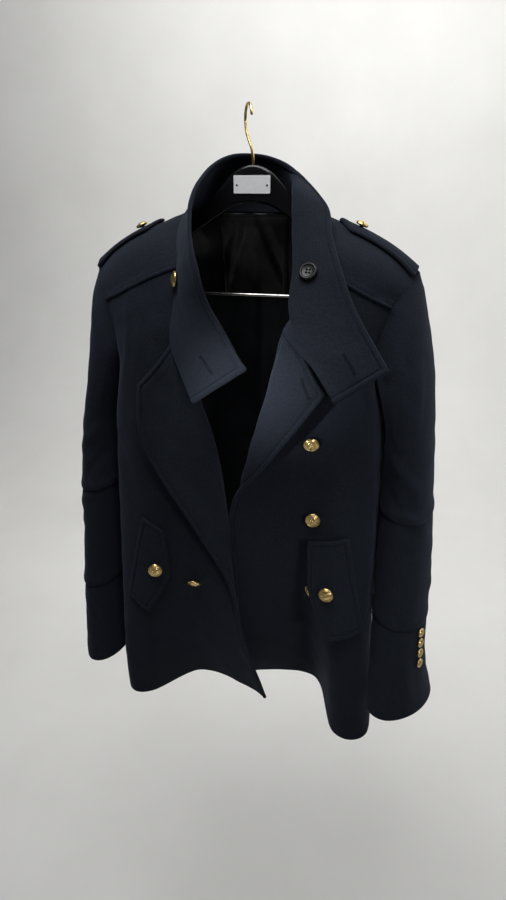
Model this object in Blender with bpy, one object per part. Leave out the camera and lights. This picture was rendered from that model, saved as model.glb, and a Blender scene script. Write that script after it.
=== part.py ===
"""Double-breasted wool coat that hangs open on a plain hanger.

The origin is the point where the hook hangs, +Z is up and the front faces -Y.
Left and right are the wearer's, so the coat's left front lies at +X.
Each cloth piece is a thin wall made from the lines a tailor would name.
"""

import math

import bmesh
import bpy
import numpy as np

# Cloth thicknesses and the gap at a seam, in metres
WOOL = 0.0024
FACING = 0.0016
LINING = 0.0010
COLLAR = 0.0042
FLAP = 0.0036
STRAP = 0.0040
PATCH = 0.0014
SEAM = 0.0005
LAYER_GAP = 0.0004
FACING_GAP = 0.0017
PIECE_GAP = 0.0014

# The least tangents at a lapel's roll and the collar's, which keep the bends open
ROLL_PULL, COLLAR_PULL = 0.050, 0.030
# How many times finer the grid is on which normals are found
FINE = 4

# Rows of a front by number: the yoke seam, the notch and the underarm
NOTCH_ROW = 2
UNDERARM_ROW = 3
HEM_ROW = 8
SIDE, RIDGE, INNER, NECK, ROLL, EDGE = range(6)

# Shoulder seam of the left side from the sleeve to the neck
SHOULDER = (
    (0.230, -0.002, -0.207),
    (0.197, -0.002, -0.182),
    (0.163, -0.002, -0.163),
    (0.128, -0.002, -0.148),
    (0.092, -0.002, -0.134),
)
# Half way down the yoke, from the sleeve to the neck
YOKE_MIDDLE = (
    (0.219, -0.036, -0.222),
    (0.190, -0.049, -0.200),
    (0.160, -0.056, -0.183),
    (0.128, -0.058, -0.170),
    (0.092, -0.050, -0.158),
)
# The right front, which lies open. Columns: side, ridge, inner, neck, roll, edge.
# The two rows above the notch end at the neckline.
FRONT_RIGHT = (
    ((-0.200, -0.060, -0.246), (-0.172, -0.077, -0.234), (-0.145, -0.085, -0.221),
     (-0.114, -0.088, -0.207), (-0.082, -0.086, -0.196)),
    ((-0.184, -0.072, -0.290), (-0.165, -0.090, -0.275), (-0.142, -0.098, -0.262),
     (-0.113, -0.102, -0.252), (-0.083, -0.103, -0.244)),
    ((-0.182, -0.068, -0.335), (-0.168, -0.092, -0.322), (-0.146, -0.106, -0.310),
     (-0.118, -0.112, -0.300), (-0.085, -0.117, -0.292), (-0.123, -0.150, -0.346)),
    ((-0.199, -0.004, -0.420), (-0.186, -0.078, -0.395), (-0.152, -0.108, -0.385),
     (-0.108, -0.116, -0.375), (-0.052, -0.122, -0.368), (-0.123, -0.155, -0.405)),
    ((-0.202, 0.000, -0.490), (-0.190, -0.084, -0.480), (-0.152, -0.114, -0.470),
     (-0.098, -0.117, -0.462), (-0.025, -0.122, -0.458), (-0.106, -0.153, -0.460)),
    ((-0.203, 0.000, -0.580), (-0.191, -0.090, -0.575), (-0.148, -0.120, -0.570),
     (-0.090, -0.112, -0.565), (-0.015, -0.116, -0.560), (-0.052, -0.144, -0.560)),
    ((-0.203, 0.000, -0.670), (-0.193, -0.095, -0.670), (-0.146, -0.123, -0.670),
     (-0.086, -0.102, -0.668), (-0.018, -0.107, -0.665), (-0.008, -0.124, -0.662)),
    ((-0.203, -0.002, -0.785), (-0.195, -0.100, -0.785), (-0.150, -0.120, -0.785),
     (-0.084, -0.078, -0.785), (-0.016, -0.085, -0.783), (0.008, -0.100, -0.780)),
    ((-0.209, -0.012, -0.900), (-0.192, -0.104, -0.900), (-0.151, -0.110, -0.900),
     (-0.085, -0.040, -0.900), (-0.002, -0.060, -0.900), (0.041, -0.087, -0.898)),
)

# The left front, which laps behind the right one at the hem. Same columns.
FRONT_LEFT = (
    ((0.198, -0.060, -0.243), (0.171, -0.078, -0.228), (0.146, -0.086, -0.214),
     (0.122, -0.089, -0.201), (0.098, -0.087, -0.190)),
    ((0.183, -0.072, -0.288), (0.163, -0.092, -0.272), (0.140, -0.101, -0.258),
     (0.118, -0.106, -0.247), (0.092, -0.108, -0.238)),
    ((0.181, -0.068, -0.335), (0.168, -0.094, -0.318), (0.146, -0.108, -0.304),
     (0.112, -0.117, -0.286), (0.073, -0.128, -0.269), (0.128, -0.160, -0.340)),
    ((0.199, -0.004, -0.420), (0.186, -0.080, -0.400), (0.152, -0.110, -0.385),
     (0.108, -0.120, -0.370), (0.053, -0.136, -0.351), (0.100, -0.165, -0.380)),
    ((0.202, 0.000, -0.490), (0.192, -0.086, -0.480), (0.153, -0.116, -0.465),
     (0.104, -0.116, -0.450), (0.034, -0.134, -0.435), (0.060, -0.156, -0.436)),
    ((0.203, 0.000, -0.580), (0.194, -0.096, -0.575), (0.152, -0.124, -0.565),
     (0.100, -0.106, -0.550), (0.020, -0.115, -0.535), (-0.004, -0.123, -0.533)),
    ((0.203, 0.000, -0.670), (0.195, -0.106, -0.670), (0.150, -0.130, -0.670),
     (0.098, -0.088, -0.665), (0.020, -0.093, -0.660), (-0.007, -0.098, -0.655)),
    ((0.203, -0.002, -0.785), (0.196, -0.122, -0.785), (0.154, -0.130, -0.785),
     (0.108, -0.047, -0.785), (0.020, -0.064, -0.783), (-0.010, -0.075, -0.780)),
    ((0.209, -0.012, -0.900), (0.211, -0.126, -0.900), (0.160, -0.132, -0.900),
     (0.115, -0.013, -0.900), (0.020, -0.017, -0.900), (-0.015, -0.048, -0.898)),
)

# The back's left half. Columns: side, blade, inner, neck point, middle.
BACK_HALF = (
    ((0.230, -0.002, -0.207), (0.186, -0.002, -0.175), (0.140, -0.002, -0.153),
     (0.092, -0.002, -0.134), (0.000, 0.070, -0.136)),
    ((0.213, 0.045, -0.245), (0.180, 0.064, -0.226), (0.138, 0.077, -0.212),
     (0.092, 0.083, -0.204), (0.000, 0.091, -0.212)),
    ((0.190, 0.072, -0.310), (0.168, 0.086, -0.310), (0.134, 0.094, -0.310),
     (0.090, 0.097, -0.310), (0.000, 0.097, -0.310)),
    ((0.199, -0.004, -0.420), (0.189, 0.060, -0.420), (0.150, 0.089, -0.420),
     (0.098, 0.096, -0.420), (0.000, 0.094, -0.420)),
    ((0.202, 0.000, -0.490), (0.189, 0.057, -0.490), (0.148, 0.084, -0.490),
     (0.097, 0.091, -0.490), (0.000, 0.088, -0.490)),
    ((0.203, 0.000, -0.580), (0.189, 0.055, -0.580), (0.147, 0.080, -0.580),
     (0.097, 0.086, -0.580), (0.000, 0.083, -0.580)),
    ((0.203, 0.000, -0.670), (0.191, 0.055, -0.670), (0.149, 0.079, -0.670),
     (0.099, 0.084, -0.670), (0.000, 0.082, -0.670)),
    ((0.203, -0.002, -0.785), (0.194, 0.054, -0.785), (0.153, 0.079, -0.785),
     (0.102, 0.081, -0.785), (0.000, 0.083, -0.785)),
    ((0.209, -0.012, -0.900), (0.203, 0.050, -0.900), (0.160, 0.079, -0.900),
     (0.105, 0.078, -0.900), (0.000, 0.084, -0.900)),
)

# Collar from its right end round the neck to its left end: the lower edge,
# the middle or roll, and the free edge
COLLAR_STATIONS = (
    ((-0.039, -0.172, -0.357), (-0.003, -0.180, -0.331), (0.032, -0.182, -0.307)),
    ((-0.060, -0.148, -0.331), (-0.024, -0.165, -0.311), (0.017, -0.170, -0.293)),
    ((-0.085, -0.119, -0.292), (-0.044, -0.148, -0.283), (0.004, -0.160, -0.276)),
    ((-0.083, -0.103, -0.244), (-0.055, -0.134, -0.239), (-0.021, -0.160, -0.234)),
    ((-0.082, -0.086, -0.196), (-0.061, -0.124, -0.191), (-0.034, -0.158, -0.192)),
    ((-0.092, -0.050, -0.158), (-0.0685, -0.091, -0.1505), (-0.051, -0.128, -0.151)),
    ((-0.092, -0.002, -0.134), (-0.0725, -0.041, -0.119), (-0.0585, -0.079, -0.1040)),
    ((-0.060, 0.050, -0.134), (-0.063, 0.042, -0.098), (-0.050, 0.012, -0.067)),
    ((0.000, 0.070, -0.136), (-0.002, 0.073, -0.100), (-0.004, 0.050, -0.060)),
    ((0.060, 0.050, -0.134), (0.056, 0.048, -0.099), (0.0445, 0.040, -0.0765)),
    ((0.092, -0.002, -0.134), (0.056, -0.022, -0.107), (0.103, -0.024, -0.122)),
    ((0.092, -0.050, -0.158), (0.062, -0.066, -0.156), (0.118, -0.072, -0.158)),
    ((0.098, -0.087, -0.190), (0.072, -0.102, -0.200), (0.136, -0.112, -0.196)),
    ((0.092, -0.108, -0.238), (0.0785, -0.131, -0.240), (0.156, -0.136, -0.236)),
    ((0.073, -0.131, -0.269), (0.107, -0.151, -0.272), (0.178, -0.153, -0.268)),
    ((0.113, -0.160, -0.305), (0.147, -0.168, -0.297), (0.191, -0.160, -0.286)),
    ((0.144, -0.184, -0.341), (0.174, -0.178, -0.321), (0.203, -0.166, -0.303)),
)

# How far the collar stays from the neckline, by station
COLLAR_STAND_OFF = ((4, 0.0034), (5, 0.0052), (6, 0.0048), (7, 0.0022), (9, 0.0020), (11, 0.0042),
                    (12, 0.0028))
COLLAR_ACROSS, COLLAR_ALONG = 8, 40

# Sleeves by level: z, centre x and y, half width, half depth
SLEEVE_LEFT = (
    (-0.200, 0.196, 0.000, 0.038, 0.074),
    (-0.270, 0.208, -0.004, 0.042, 0.074),
    (-0.340, 0.221, -0.012, 0.042, 0.074),
    (-0.430, 0.2385, -0.024, 0.0335, 0.072),
    (-0.530, 0.242, -0.036, 0.037, 0.068),
    (-0.620, 0.2448, -0.048, 0.0398, 0.064),
    (-0.700, 0.2458, -0.062, 0.0398, 0.061),
    (-0.770, 0.248, -0.078, 0.041, 0.058),
    (-0.840, 0.256, -0.094, 0.048, 0.056),
)
SLEEVE_RIGHT = (
    (-0.200, 0.198, 0.000, 0.038, 0.074),
    (-0.270, 0.2035, -0.004, 0.0365, 0.074),
    (-0.340, 0.2113, -0.010, 0.0323, 0.074),
    (-0.430, 0.2303, -0.020, 0.0243, 0.073),
    (-0.530, 0.236, -0.032, 0.028, 0.069),
    (-0.620, 0.2385, -0.042, 0.0275, 0.066),
    (-0.700, 0.2413, -0.050, 0.0283, 0.064),
    (-0.770, 0.2415, -0.057, 0.0295, 0.063),
    (-0.840, 0.241, -0.064, 0.032, 0.062),
)
# How far the outer side swings to the back, as a share of the half width, by level
SLEEVE_SWING = {1.0: ((-0.840, 0.50), (-0.700, 0.0)), -1.0: ((-0.840, 0.0), (-0.700, 0.0))}
SLEEVE_POINTS = 18
# Share of a sleeve over which its armhole's outline fades, and the least fall of a ring
ARMHOLE_FADE, LEAST_FALL = 0.30, 0.22
# A sleeve's top rim stands this far out of its armhole and within it
ARMHOLE_OUT, ARMHOLE_IN = 0.0034, 0.0036
# Fractions of the way from the armhole to the cuff's hem
SLEEVE_LEVEL_AT = 0.50
UPPER_FRACTIONS = (0.0, 0.07, 0.15, 0.24, 0.33, 0.42, 0.51)
LOWER_FRACTIONS = (0.51, 0.60, 0.69, 0.77)
CUFF_FRACTIONS = (0.77, 0.84, 0.92, 1.0)
SLEEVE_TOP, SLEEVE_END = -0.207, -0.840

# Pocket flaps: x and z of the sewn side's top and foot, then of the free side's
# top, point and foot
FLAP_RIGHT = ((-0.141, -0.561), (-0.171, -0.698), (-0.113, -0.582), (-0.108, -0.657), (-0.142, -0.722))
FLAP_LEFT = ((0.164, -0.558), (0.190, -0.707), (0.119, -0.570), (0.125, -0.650), (0.152, -0.717))
# How far a flap's free side stands off the front; the left one lies over a button
FLAP_LIFT_RIGHT, FLAP_LIFT_LEFT = 0.0040, 0.0125
FLAP_CURL = 1.2
FLAP_ACROSS, FLAP_DOWN = 5, 8

# Where the facing starts across a front, and how far its top stays below the notch
FACING_FROM, FACING_TOP = 3.35, 0.0025
# How far the lining stays from the back's top and hem
LINING_TOP, LINING_FOOT = 0.002, 0.018

# Shoulder straps: share of the shoulder seam from the sleeve, and half widths
STRAP_START, STRAP_END = 0.03, {"left": 0.80, "right": 0.73}
STRAP_HALF_FRONT, STRAP_HALF_BACK = 0.026, 0.022
STRAP_POINT, STRAP_BUTTON_AT = 0.25, {"left": 0.76, "right": 0.71}

# Leather patch inside the back neck
PATCH_X, PATCH_WIDTH = -0.016, 0.102
PATCH_TOP, PATCH_FOOT = -0.142, -0.264
PATCH_OFF = 0.0030

# Buttons: radius, height, and the places on each piece by x and z
BUTTON_RADIUS, BUTTON_HEIGHT = 0.0118, 0.0085
CUFF_BUTTON_RADIUS, CUFF_BUTTON_HEIGHT = 0.0076, 0.0060
STRAP_BUTTON_RADIUS = 0.0095
HORN_BUTTON_HEIGHT = 0.0051
# Clear height of a button's shank over the cloth, by what it is sewn to
BUTTON_LIFT, CUFF_LIFT, STRAP_LIFT, COLLAR_LIFT = 0.0012, 0.0011, 0.0005, 0.0008
NECK_LIFT = 0.0012
FRONT_BUTTONS = {
    "front_left": ((0.108, -0.420), (0.115, -0.538), (0.116, -0.667)),
    "front_right": ((-0.070, -0.430), (-0.054, -0.552), (-0.069, -0.670)),
}
NECK_BUTTON_LEFT = (0.112, -0.222)
# Places on a flap: share of its length, and of its width from the sewn side
FLAP_BUTTON_AT = (0.5, 0.6)
CUFF_BUTTON_LEVELS = (-0.712, -0.729, -0.746, -0.763)
CUFF_BUTTON_TURN = {"left": math.radians(42), "right": math.radians(6)}
# Places on the collar by station, and by rise from the lower edge
HORN_BUTTON_AT, NECK_BUTTON_AT = (12.1, 1.42), (3.6, 0.25)

# Hanger
ARM_HALF_DEPTH, ARM_EDGE = 0.0055, 0.0025
ARM_TOP = ((0.0, -0.073), (0.024, -0.081), (0.046, -0.102), (0.070, -0.129), (0.094, -0.1445),
           (0.128, -0.157), (0.163, -0.170), (0.192, -0.188), (0.206, -0.202))
ARM_FOOT = ((0.0, -0.121), (0.024, -0.125), (0.046, -0.137), (0.070, -0.152), (0.094, -0.167),
            (0.128, -0.184), (0.163, -0.202), (0.192, -0.217), (0.206, -0.222))
# Where the hook hangs, measured from the middle of the arms
HANG_X = -0.006
HOOK_RADIUS = 0.0019
HOOK_BEND = 0.0165
HOOK_LEAN = math.radians(62)
# The stem's way to the bend: share of the foot's offset, swing to the back, level
HOOK_STEM = ((0.8, 0.003, -0.052), (0.3, 0.008, -0.040), (0.0, 0.012, -0.030))
BAR_RADIUS = 0.0021
BAR_LEVEL = -0.246
BAR_HALF, BAR_BEND = 0.186, 0.008
PLATE_HALF_WIDTH, PLATE_TOP, PLATE_FOOT, PLATE_DEPTH = 0.0255, -0.086, -0.109, 0.0012

# Base colours of the plain materials
COLOURS = {
    "wool": (0.016, 0.017, 0.022, 1.0),
    "lining": (0.010, 0.010, 0.012, 1.0),
    "leather": (0.014, 0.013, 0.013, 1.0),
    "gold": (0.62, 0.43, 0.16, 1.0),
    "horn": (0.020, 0.018, 0.018, 1.0),
    "hanger": (0.012, 0.012, 0.013, 1.0),
    "brass": (0.70, 0.50, 0.20, 1.0),
    "steel": (0.60, 0.58, 0.55, 1.0),
    "plate": (0.80, 0.80, 0.78, 1.0),
}
METALS = ("gold", "brass", "steel")


# Curves and grids

def unit(vectors):
    lengths = np.linalg.norm(vectors, axis=-1, keepdims=True)
    return vectors / np.maximum(lengths, 1e-9)


def tangents_of(points, before, after, pull):
    """Tangents of a smooth curve; before and after stand in for the next points."""
    count = len(points)
    tangents = np.empty_like(points)
    tangents[1:-1] = (points[2:] - points[:-2]) / 2
    if pull:
        lengths = np.linalg.norm(tangents[1:-1], axis=-1, keepdims=True)
        tangents[1:-1] *= np.maximum(pull / np.maximum(lengths, 1e-9), 1.0)
    if before is None:
        near = tangents[1] if count > 2 else points[1] - points[0]
        tangents[0] = 1.5 * (points[1] - points[0]) - 0.5 * near
    else:
        tangents[0] = (points[1] - before) / 2
    if after is None:
        near = tangents[-2] if count > 2 else points[-1] - points[-2]
        tangents[-1] = 1.5 * (points[-1] - points[-2]) - 0.5 * near
    else:
        tangents[-1] = (after - points[-2]) / 2
    return tangents


def spline(points, params, before=None, after=None, pull=0.0):
    """Points of the smooth curve through the given ones; a param counts points."""
    points = np.asarray(points, float)
    params = np.asarray(params, float)
    tangents = tangents_of(points, before, after, pull)
    index = np.clip(params.astype(int), 0, len(points) - 2)
    t = (params - index).reshape((-1,) + (1,) * (points.ndim - 1))
    start, end = points[index], points[index + 1]
    leave, arrive = tangents[index], tangents[index + 1]
    return (
        start * (2 * t**3 - 3 * t**2 + 1)
        + leave * (t**3 - 2 * t**2 + t)
        + end * (3 * t**2 - 2 * t**3)
        + arrive * (t**3 - t**2)
    )


def mirrored_in_y(end, inner):
    """A stand-in neighbour that makes the cloth level across a seam at end."""
    other = np.array(inner, float)
    other[..., 1] = 2 * np.asarray(end)[..., 1] - other[..., 1]
    return other


def steps(*spans):
    """Params over spans of (start, end, count), each shared end once."""
    values = [spans[0][0]]
    for start, end, count in spans:
        values += [start + (end - start) * (i + 1) / count for i in range(count)]
    return np.array(values)


def refined(params):
    spans = [(a, b, FINE) for a, b in zip(params[:-1], params[1:])]
    return steps(*spans)


def normals_of(grid):
    down = np.gradient(grid, axis=0)
    across = np.gradient(grid, axis=1)
    return unit(np.cross(across, down))


def fade(params, over):
    share = np.clip(1 - np.asarray(params) / over, 0, 1)
    return share * share * (3 - 2 * share)


# Panels of the body

def front_grid(rows, us, vs):
    """Points of a front up to its roll line, and those of its lapel beyond it."""
    side = np.array([row[SIDE] for row in rows])
    body_us = us[us <= ROLL]
    flap_us = us[us > ROLL]
    lines = []
    for number, row in enumerate(rows):
        row = np.array(row)
        before = mirrored_in_y(row[SIDE], row[RIDGE]) if number >= UNDERARM_ROW else None
        row_us = us if number >= NOTCH_ROW else body_us
        lines.append(spline(row, row_us, before, None, ROLL_PULL))
    body_lines = np.array([line[: len(body_us)] for line in lines])
    body = spline(body_lines, vs)
    flap_lines = np.array([line[len(body_us):] for line in lines[NOTCH_ROW:]])
    flap_vs = np.maximum(vs - NOTCH_ROW, 0)
    flap = spline(flap_lines, flap_vs) if len(flap_us) else np.empty((len(vs), 0, 3))
    return sewn_side(body, side, body_us, vs), flap


def sewn_side(grid, side, us, vs):
    """The side column moved onto the armhole and the straight side seam."""
    wanted = np.where(
        (vs < UNDERARM_ROW)[:, None],
        spline(side[: UNDERARM_ROW + 1], np.minimum(vs, UNDERARM_ROW)),
        spline(side[UNDERARM_ROW:], np.maximum(vs - UNDERARM_ROW, 0)),
    )
    share = fade(us, 1.0)
    return grid + share[None, :, None] * (wanted - grid[:, 0])[:, None, :]


FRONT_US = steps((0, 1, 3), (1, 2, 2), (2, 3, 3), (3, 3.7, 2), (3.7, 4, 2), (4, 4.3, 3), (4.3, 5, 3))
FRONT_VS = steps((0, 2, 3), (2, 3, 2), (3, 8, 10))


def front_surface(rows):
    """Middle points and outward normals of a front, and which cells it has."""
    fine_us = refined(FRONT_US)
    fine_vs = refined(FRONT_VS)
    body, flap = front_grid(rows, fine_us, fine_vs)
    grid = np.concatenate([body, flap], axis=1)
    outward = 1.0 if rows[0][SIDE][0] > 0 else -1.0
    normals = normals_of(grid) * outward
    top = int(np.argmin(abs(fine_vs - NOTCH_ROW)))
    lower = normals_of(grid[top:]) * outward
    normals[top:, len(body[0]):] = lower[:, len(body[0]):]
    upper = normals_of(body) * outward
    normals[:top, : len(body[0])] = upper[:top]
    has = np.array([[v >= NOTCH_ROW or u < ROLL for u in FRONT_US[:-1]] for v in FRONT_VS[:-1]])
    return grid[::FINE, ::FINE], normals[::FINE, ::FINE], has


def yoke_surface(rows, side):
    """Middle points and outward normals of a yoke, from the shoulder to its seam."""
    flip = np.array((side, 1.0, 1.0))
    seam = np.array(rows[0])
    first = np.array(SHOULDER) * flip
    middle = np.array(YOKE_MIDDLE) * flip
    us = FRONT_US[FRONT_US <= ROLL]
    fine_us = refined(us)
    fine_vs = refined(steps((0, 2, 6)))
    lines = np.array([spline(line, fine_us) for line in (first, middle, seam)])
    below = spline(rows[1], fine_us)
    grid = spline(lines, fine_vs, mirrored_in_y(lines[0], lines[1]), below)
    normals = normals_of(grid) * side
    return grid[::FINE, ::FINE], normals[::FINE, ::FINE]


BACK_US = steps((0, 1, 3), (1, 3, 3), (3, 4, 3), (4, 5, 3), (5, 7, 3), (7, 8, 3))
BACK_VS = steps((0, 1, 3), (1, 3, 4), (3, 8, 10))
BACK_NECK = 3


def back_surface():
    """Middle points and outward normals of the back, from its left to its right side."""
    fine_us = refined(BACK_US)
    fine_vs = refined(BACK_VS)
    half = np.array(BACK_HALF)
    flip = np.array((-1.0, 1.0, 1.0))
    net = np.concatenate([half, half[:, 3::-1] * flip], axis=1)
    lines = []
    for number, row in enumerate(net):
        if number == 0:
            lines.append(back_top(fine_us))
            continue
        sewn = number >= UNDERARM_ROW
        before = mirrored_in_y(row[0], row[1]) if sewn else None
        after = mirrored_in_y(row[-1], row[-2]) if sewn else None
        lines.append(spline(row, fine_us, before, after))
    lines = np.array(lines)
    grid = spline(lines, fine_vs, mirrored_in_y(lines[0], lines[1]), None)
    grid = sewn_side(grid, net[:, 0], fine_us, fine_vs)
    turned = grid[:, ::-1]
    grid = sewn_side(turned, net[:, -1], fine_us, fine_vs)[:, ::-1]
    normals = normals_of(grid) * -1.0
    return grid[::FINE, ::FINE], normals[::FINE, ::FINE]


def back_top(us):
    """Both shoulder seams and the back neckline as one line from left to right."""
    left = spline(SHOULDER, np.clip(us / BACK_NECK, 0, 1) * (len(SHOULDER) - 1))
    flip = np.array((-1.0, 1.0, 1.0))
    width = 2 * (4 - BACK_NECK)
    right = spline(SHOULDER, np.clip((8 - us) / BACK_NECK, 0, 1) * (len(SHOULDER) - 1)) * flip
    neck = neckline_back(np.clip((us - BACK_NECK) / width, 0, 1))
    line = np.where((us < BACK_NECK)[:, None], left, neck)
    return np.where((us > 8 - BACK_NECK)[:, None], right, line)


def neckline_back(share):
    """The back neckline from the left neck point to the right one."""
    points = [COLLAR_STATIONS[number][0] for number in (10, 9, 8, 7, 6)]
    return spline(points, np.asarray(share) * 4)


# Solids

def link(name, mesh, colour):
    material = bpy.data.materials.get(colour)
    if material is None:
        material = bpy.data.materials.new(colour)
        material.use_nodes = True
        shader = material.node_tree.nodes["Principled BSDF"]
        shader.inputs["Base Color"].default_value = COLOURS[colour]
        shader.inputs["Metallic"].default_value = 1.0 if colour in METALS else 0.0
        shader.inputs["Roughness"].default_value = 0.3 if colour in METALS else 0.8
    mesh.materials.append(material)
    obj = bpy.data.objects.new(name, mesh)
    bpy.context.scene.collection.objects.link(obj)
    return obj


def solid(name, points, faces, colour):
    mesh = bpy.data.meshes.new(name)
    mesh.from_pydata([(point[0] - HANG_X, point[1], point[2]) for point in points], [], faces)
    work = bmesh.new()
    work.from_mesh(mesh)
    loose = [vert for vert in work.verts if not vert.link_faces]
    bmesh.ops.delete(work, geom=loose, context="VERTS")
    bmesh.ops.recalc_face_normals(work, faces=work.faces)
    if work.calc_volume(signed=True) < 0:
        bmesh.ops.reverse_faces(work, faces=work.faces)
    work.to_mesh(mesh)
    work.free()
    return link(name, mesh, colour)


def wall(name, outer, inner, colour, has=None, closed=False):
    """A thin wall between two grids of points, with both faces split alike."""
    rows, columns = outer.shape[:2]
    total = rows * columns
    points = np.concatenate([outer.reshape(-1, 3), inner.reshape(-1, 3)])
    last = columns if closed else columns - 1
    faces = []
    edges = {}
    for row in range(rows - 1):
        for column in range(last):
            if has is not None and not has[row, column]:
                continue
            after = (column + 1) % columns
            corners = (
                row * columns + column,
                row * columns + after,
                (row + 1) * columns + after,
                (row + 1) * columns + column,
            )
            a, b, c, d = corners
            faces += [(a, b, c), (a, c, d)]
            faces += [(total + c, total + b, total + a), (total + d, total + c, total + a)]
            for start, end in ((a, b), (b, c), (c, d), (d, a)):
                key = (min(start, end), max(start, end))
                edges.setdefault(key, []).append((start, end))
    for uses in edges.values():
        if len(uses) == 1:
            start, end = uses[0]
            faces += [(end, start, total + start), (end, total + start, total + end)]
    return solid(name, points, faces, colour)


def trimmed(grid, amounts):
    """The grid with its rims drawn in by (top, foot, first, last) along the cloth."""
    top, foot, first, last = amounts
    out = grid.copy()
    out[0] += unit(grid[1] - grid[0]) * top
    out[-1] += unit(grid[-2] - grid[-1]) * foot
    out[:, 0] += unit(grid[:, 1] - grid[:, 0]) * first
    out[:, -1] += unit(grid[:, -2] - grid[:, -1]) * last
    return out


def layered(name, grid, normals, inside, outside, colour, has=None):
    """A wall from a panel's points moved in by one distance and out by another."""
    return wall(name, grid + normals * outside, grid - normals * inside, colour, has)


def front(name, rows):
    grid, normals, has = front_surface(rows)
    half = WOOL / 2
    shaped = trimmed(grid, (SEAM / 2, 0.0, SEAM / 2, 0.0))
    layered(name, shaped, normals, half, half, "wool", has)
    return grid, normals, has


def facing(name, grid, normals, has):
    """The facing under a front's lapel and edge, one layer gap inside it."""
    first = int(np.argmin(abs(FRONT_US - FACING_FROM)))
    near = WOOL / 2 + FACING_GAP
    start = int(np.argmin(abs(FRONT_VS - NOTCH_ROW)))
    shaped = trimmed(grid[start:, first:], (FACING_TOP, 0.0, 0.0, 0.0))
    layered(name, shaped, normals[start:, first:], near + FACING, -near, "wool", has[start:, first:])


def button(name, centre, axis, radius, height, lift, colour, around=10):
    """A domed shank button whose foot stands off the cloth by lift."""
    profile = (
        (0.30, 0.00), (0.30, 0.22), (0.96, 0.30), (1.00, 0.52), (0.62, 0.90),
    )
    axis = unit(np.asarray(axis, float))
    guide = np.array((0.0, 0.0, 1.0)) if abs(axis[2]) < 0.9 else np.array((0.0, 1.0, 0.0))
    first = unit(np.cross(guide, axis))
    second = np.cross(axis, first)
    foot = np.asarray(centre) + axis * lift
    points = []
    for share, rise in profile:
        for step in range(around):
            angle = 2 * math.pi * step / around
            spoke = first * math.cos(angle) + second * math.sin(angle)
            points.append(foot + spoke * radius * share + axis * height * rise)
    points.append(foot)
    points.append(foot + axis * height)
    base, crown = len(points) - 2, len(points) - 1
    faces = []
    rings = len(profile)
    for step in range(around):
        after = (step + 1) % around
        faces.append((base, after, step))
        faces.append((crown, (rings - 1) * around + step, (rings - 1) * around + after))
        for ring in range(rings - 1):
            low, high = ring * around, (ring + 1) * around
            faces.append((low + step, low + after, high + after, high + step))
    return solid(name, points, faces, colour)


class Panel:
    """A front as a smooth surface that pieces can be laid on."""

    def __init__(self, rows):
        self.rows = rows
        self.us = np.linspace(0.0, ROLL - 0.02, 120)
        self.vs = np.linspace(0.0, HEM_ROW, 241)
        self.grid, _ = front_grid(rows, self.us, self.vs)
        self.normals = normals_of(self.grid) * (1.0 if rows[0][SIDE][0] > 0 else -1.0)

    def at(self, x, z):
        """Point and outward normal of the cloth that faces the viewer at x and z."""
        far = (self.grid[..., 0] - x) ** 2 + (self.grid[..., 2] - z) ** 2
        far = far + np.where(self.grid[..., 1] > -0.02, 1.0, 0.0)
        row, column = np.unravel_index(np.argmin(far), far.shape)
        row = min(max(row, 1), len(self.vs) - 2)
        column = min(max(column, 1), len(self.us) - 2)
        point = self.grid[row, column]
        down = (self.grid[row + 1, column] - self.grid[row - 1, column]) / 2
        across = (self.grid[row, column + 1] - self.grid[row, column - 1]) / 2
        square = np.array(((across[0], down[0]), (across[2], down[2])))
        shift = np.linalg.solve(square, np.array((x - point[0], z - point[2])))
        shift = np.clip(shift, -1.5, 1.5)
        return point + across * shift[0] + down * shift[1], self.normals[row, column]


def flap_grid(panel, corners, across, down):
    """Points and normals of a pocket flap laid on a front."""
    sewn_top, sewn_foot, free_top, free_point, free_foot = [np.array(c) for c in corners]
    points = np.empty((down + 1, across + 1, 3))
    normals = np.empty_like(points)
    for row in range(down + 1):
        fall = row / down
        sewn = sewn_top + (sewn_foot - sewn_top) * fall
        if fall < 0.5:
            free = free_top + (free_point - free_top) * fall * 2
        else:
            free = free_point + (free_foot - free_point) * (fall * 2 - 1)
        for column in range(across + 1):
            x, z = sewn + (free - sewn) * column / across
            points[row, column], normals[row, column] = panel.at(x, z)
    return points, normals


def pocket_flap(name, panel, corners, lift):
    """A flap whose free side stands off the front, with its button."""
    across, down = FLAP_ACROSS, FLAP_DOWN
    points, normals = flap_grid(panel, corners, across, down)
    rise = lift * (np.arange(across + 1) / across) ** FLAP_CURL
    near = WOOL / 2 + PIECE_GAP + rise[None, :, None]
    outer = points + normals * (near + FLAP)
    wall(f"pocket_flap_{name}", outer, points + normals * near, "wool")
    row = round(FLAP_BUTTON_AT[0] * down)
    column = round(FLAP_BUTTON_AT[1] * across)
    fall = outer[row + 1, column] - outer[row - 1, column]
    axis = np.cross(outer[row, column + 1] - outer[row, column - 1], fall)
    axis = axis if axis[1] < 0 else -axis
    button(f"button_pocket_{name}", outer[row, column], axis, BUTTON_RADIUS, BUTTON_HEIGHT,
           BUTTON_LIFT, "gold")


def collar_surface(across, along):
    """Middle points and normals of the collar; rows run along, columns rise."""
    stations = np.array(COLLAR_STATIONS)
    rise = np.linspace(0, 2, across + 1)
    fine_rise = refined(rise)
    fine_along = refined(along)
    lines = spline(stations.transpose(1, 0, 2), fine_rise, None, None, COLLAR_PULL)
    grid = spline(lines.transpose(1, 0, 2), fine_along)
    normals = normals_of(grid)
    return grid[::FINE, ::FINE], normals[::FINE, ::FINE]


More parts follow.
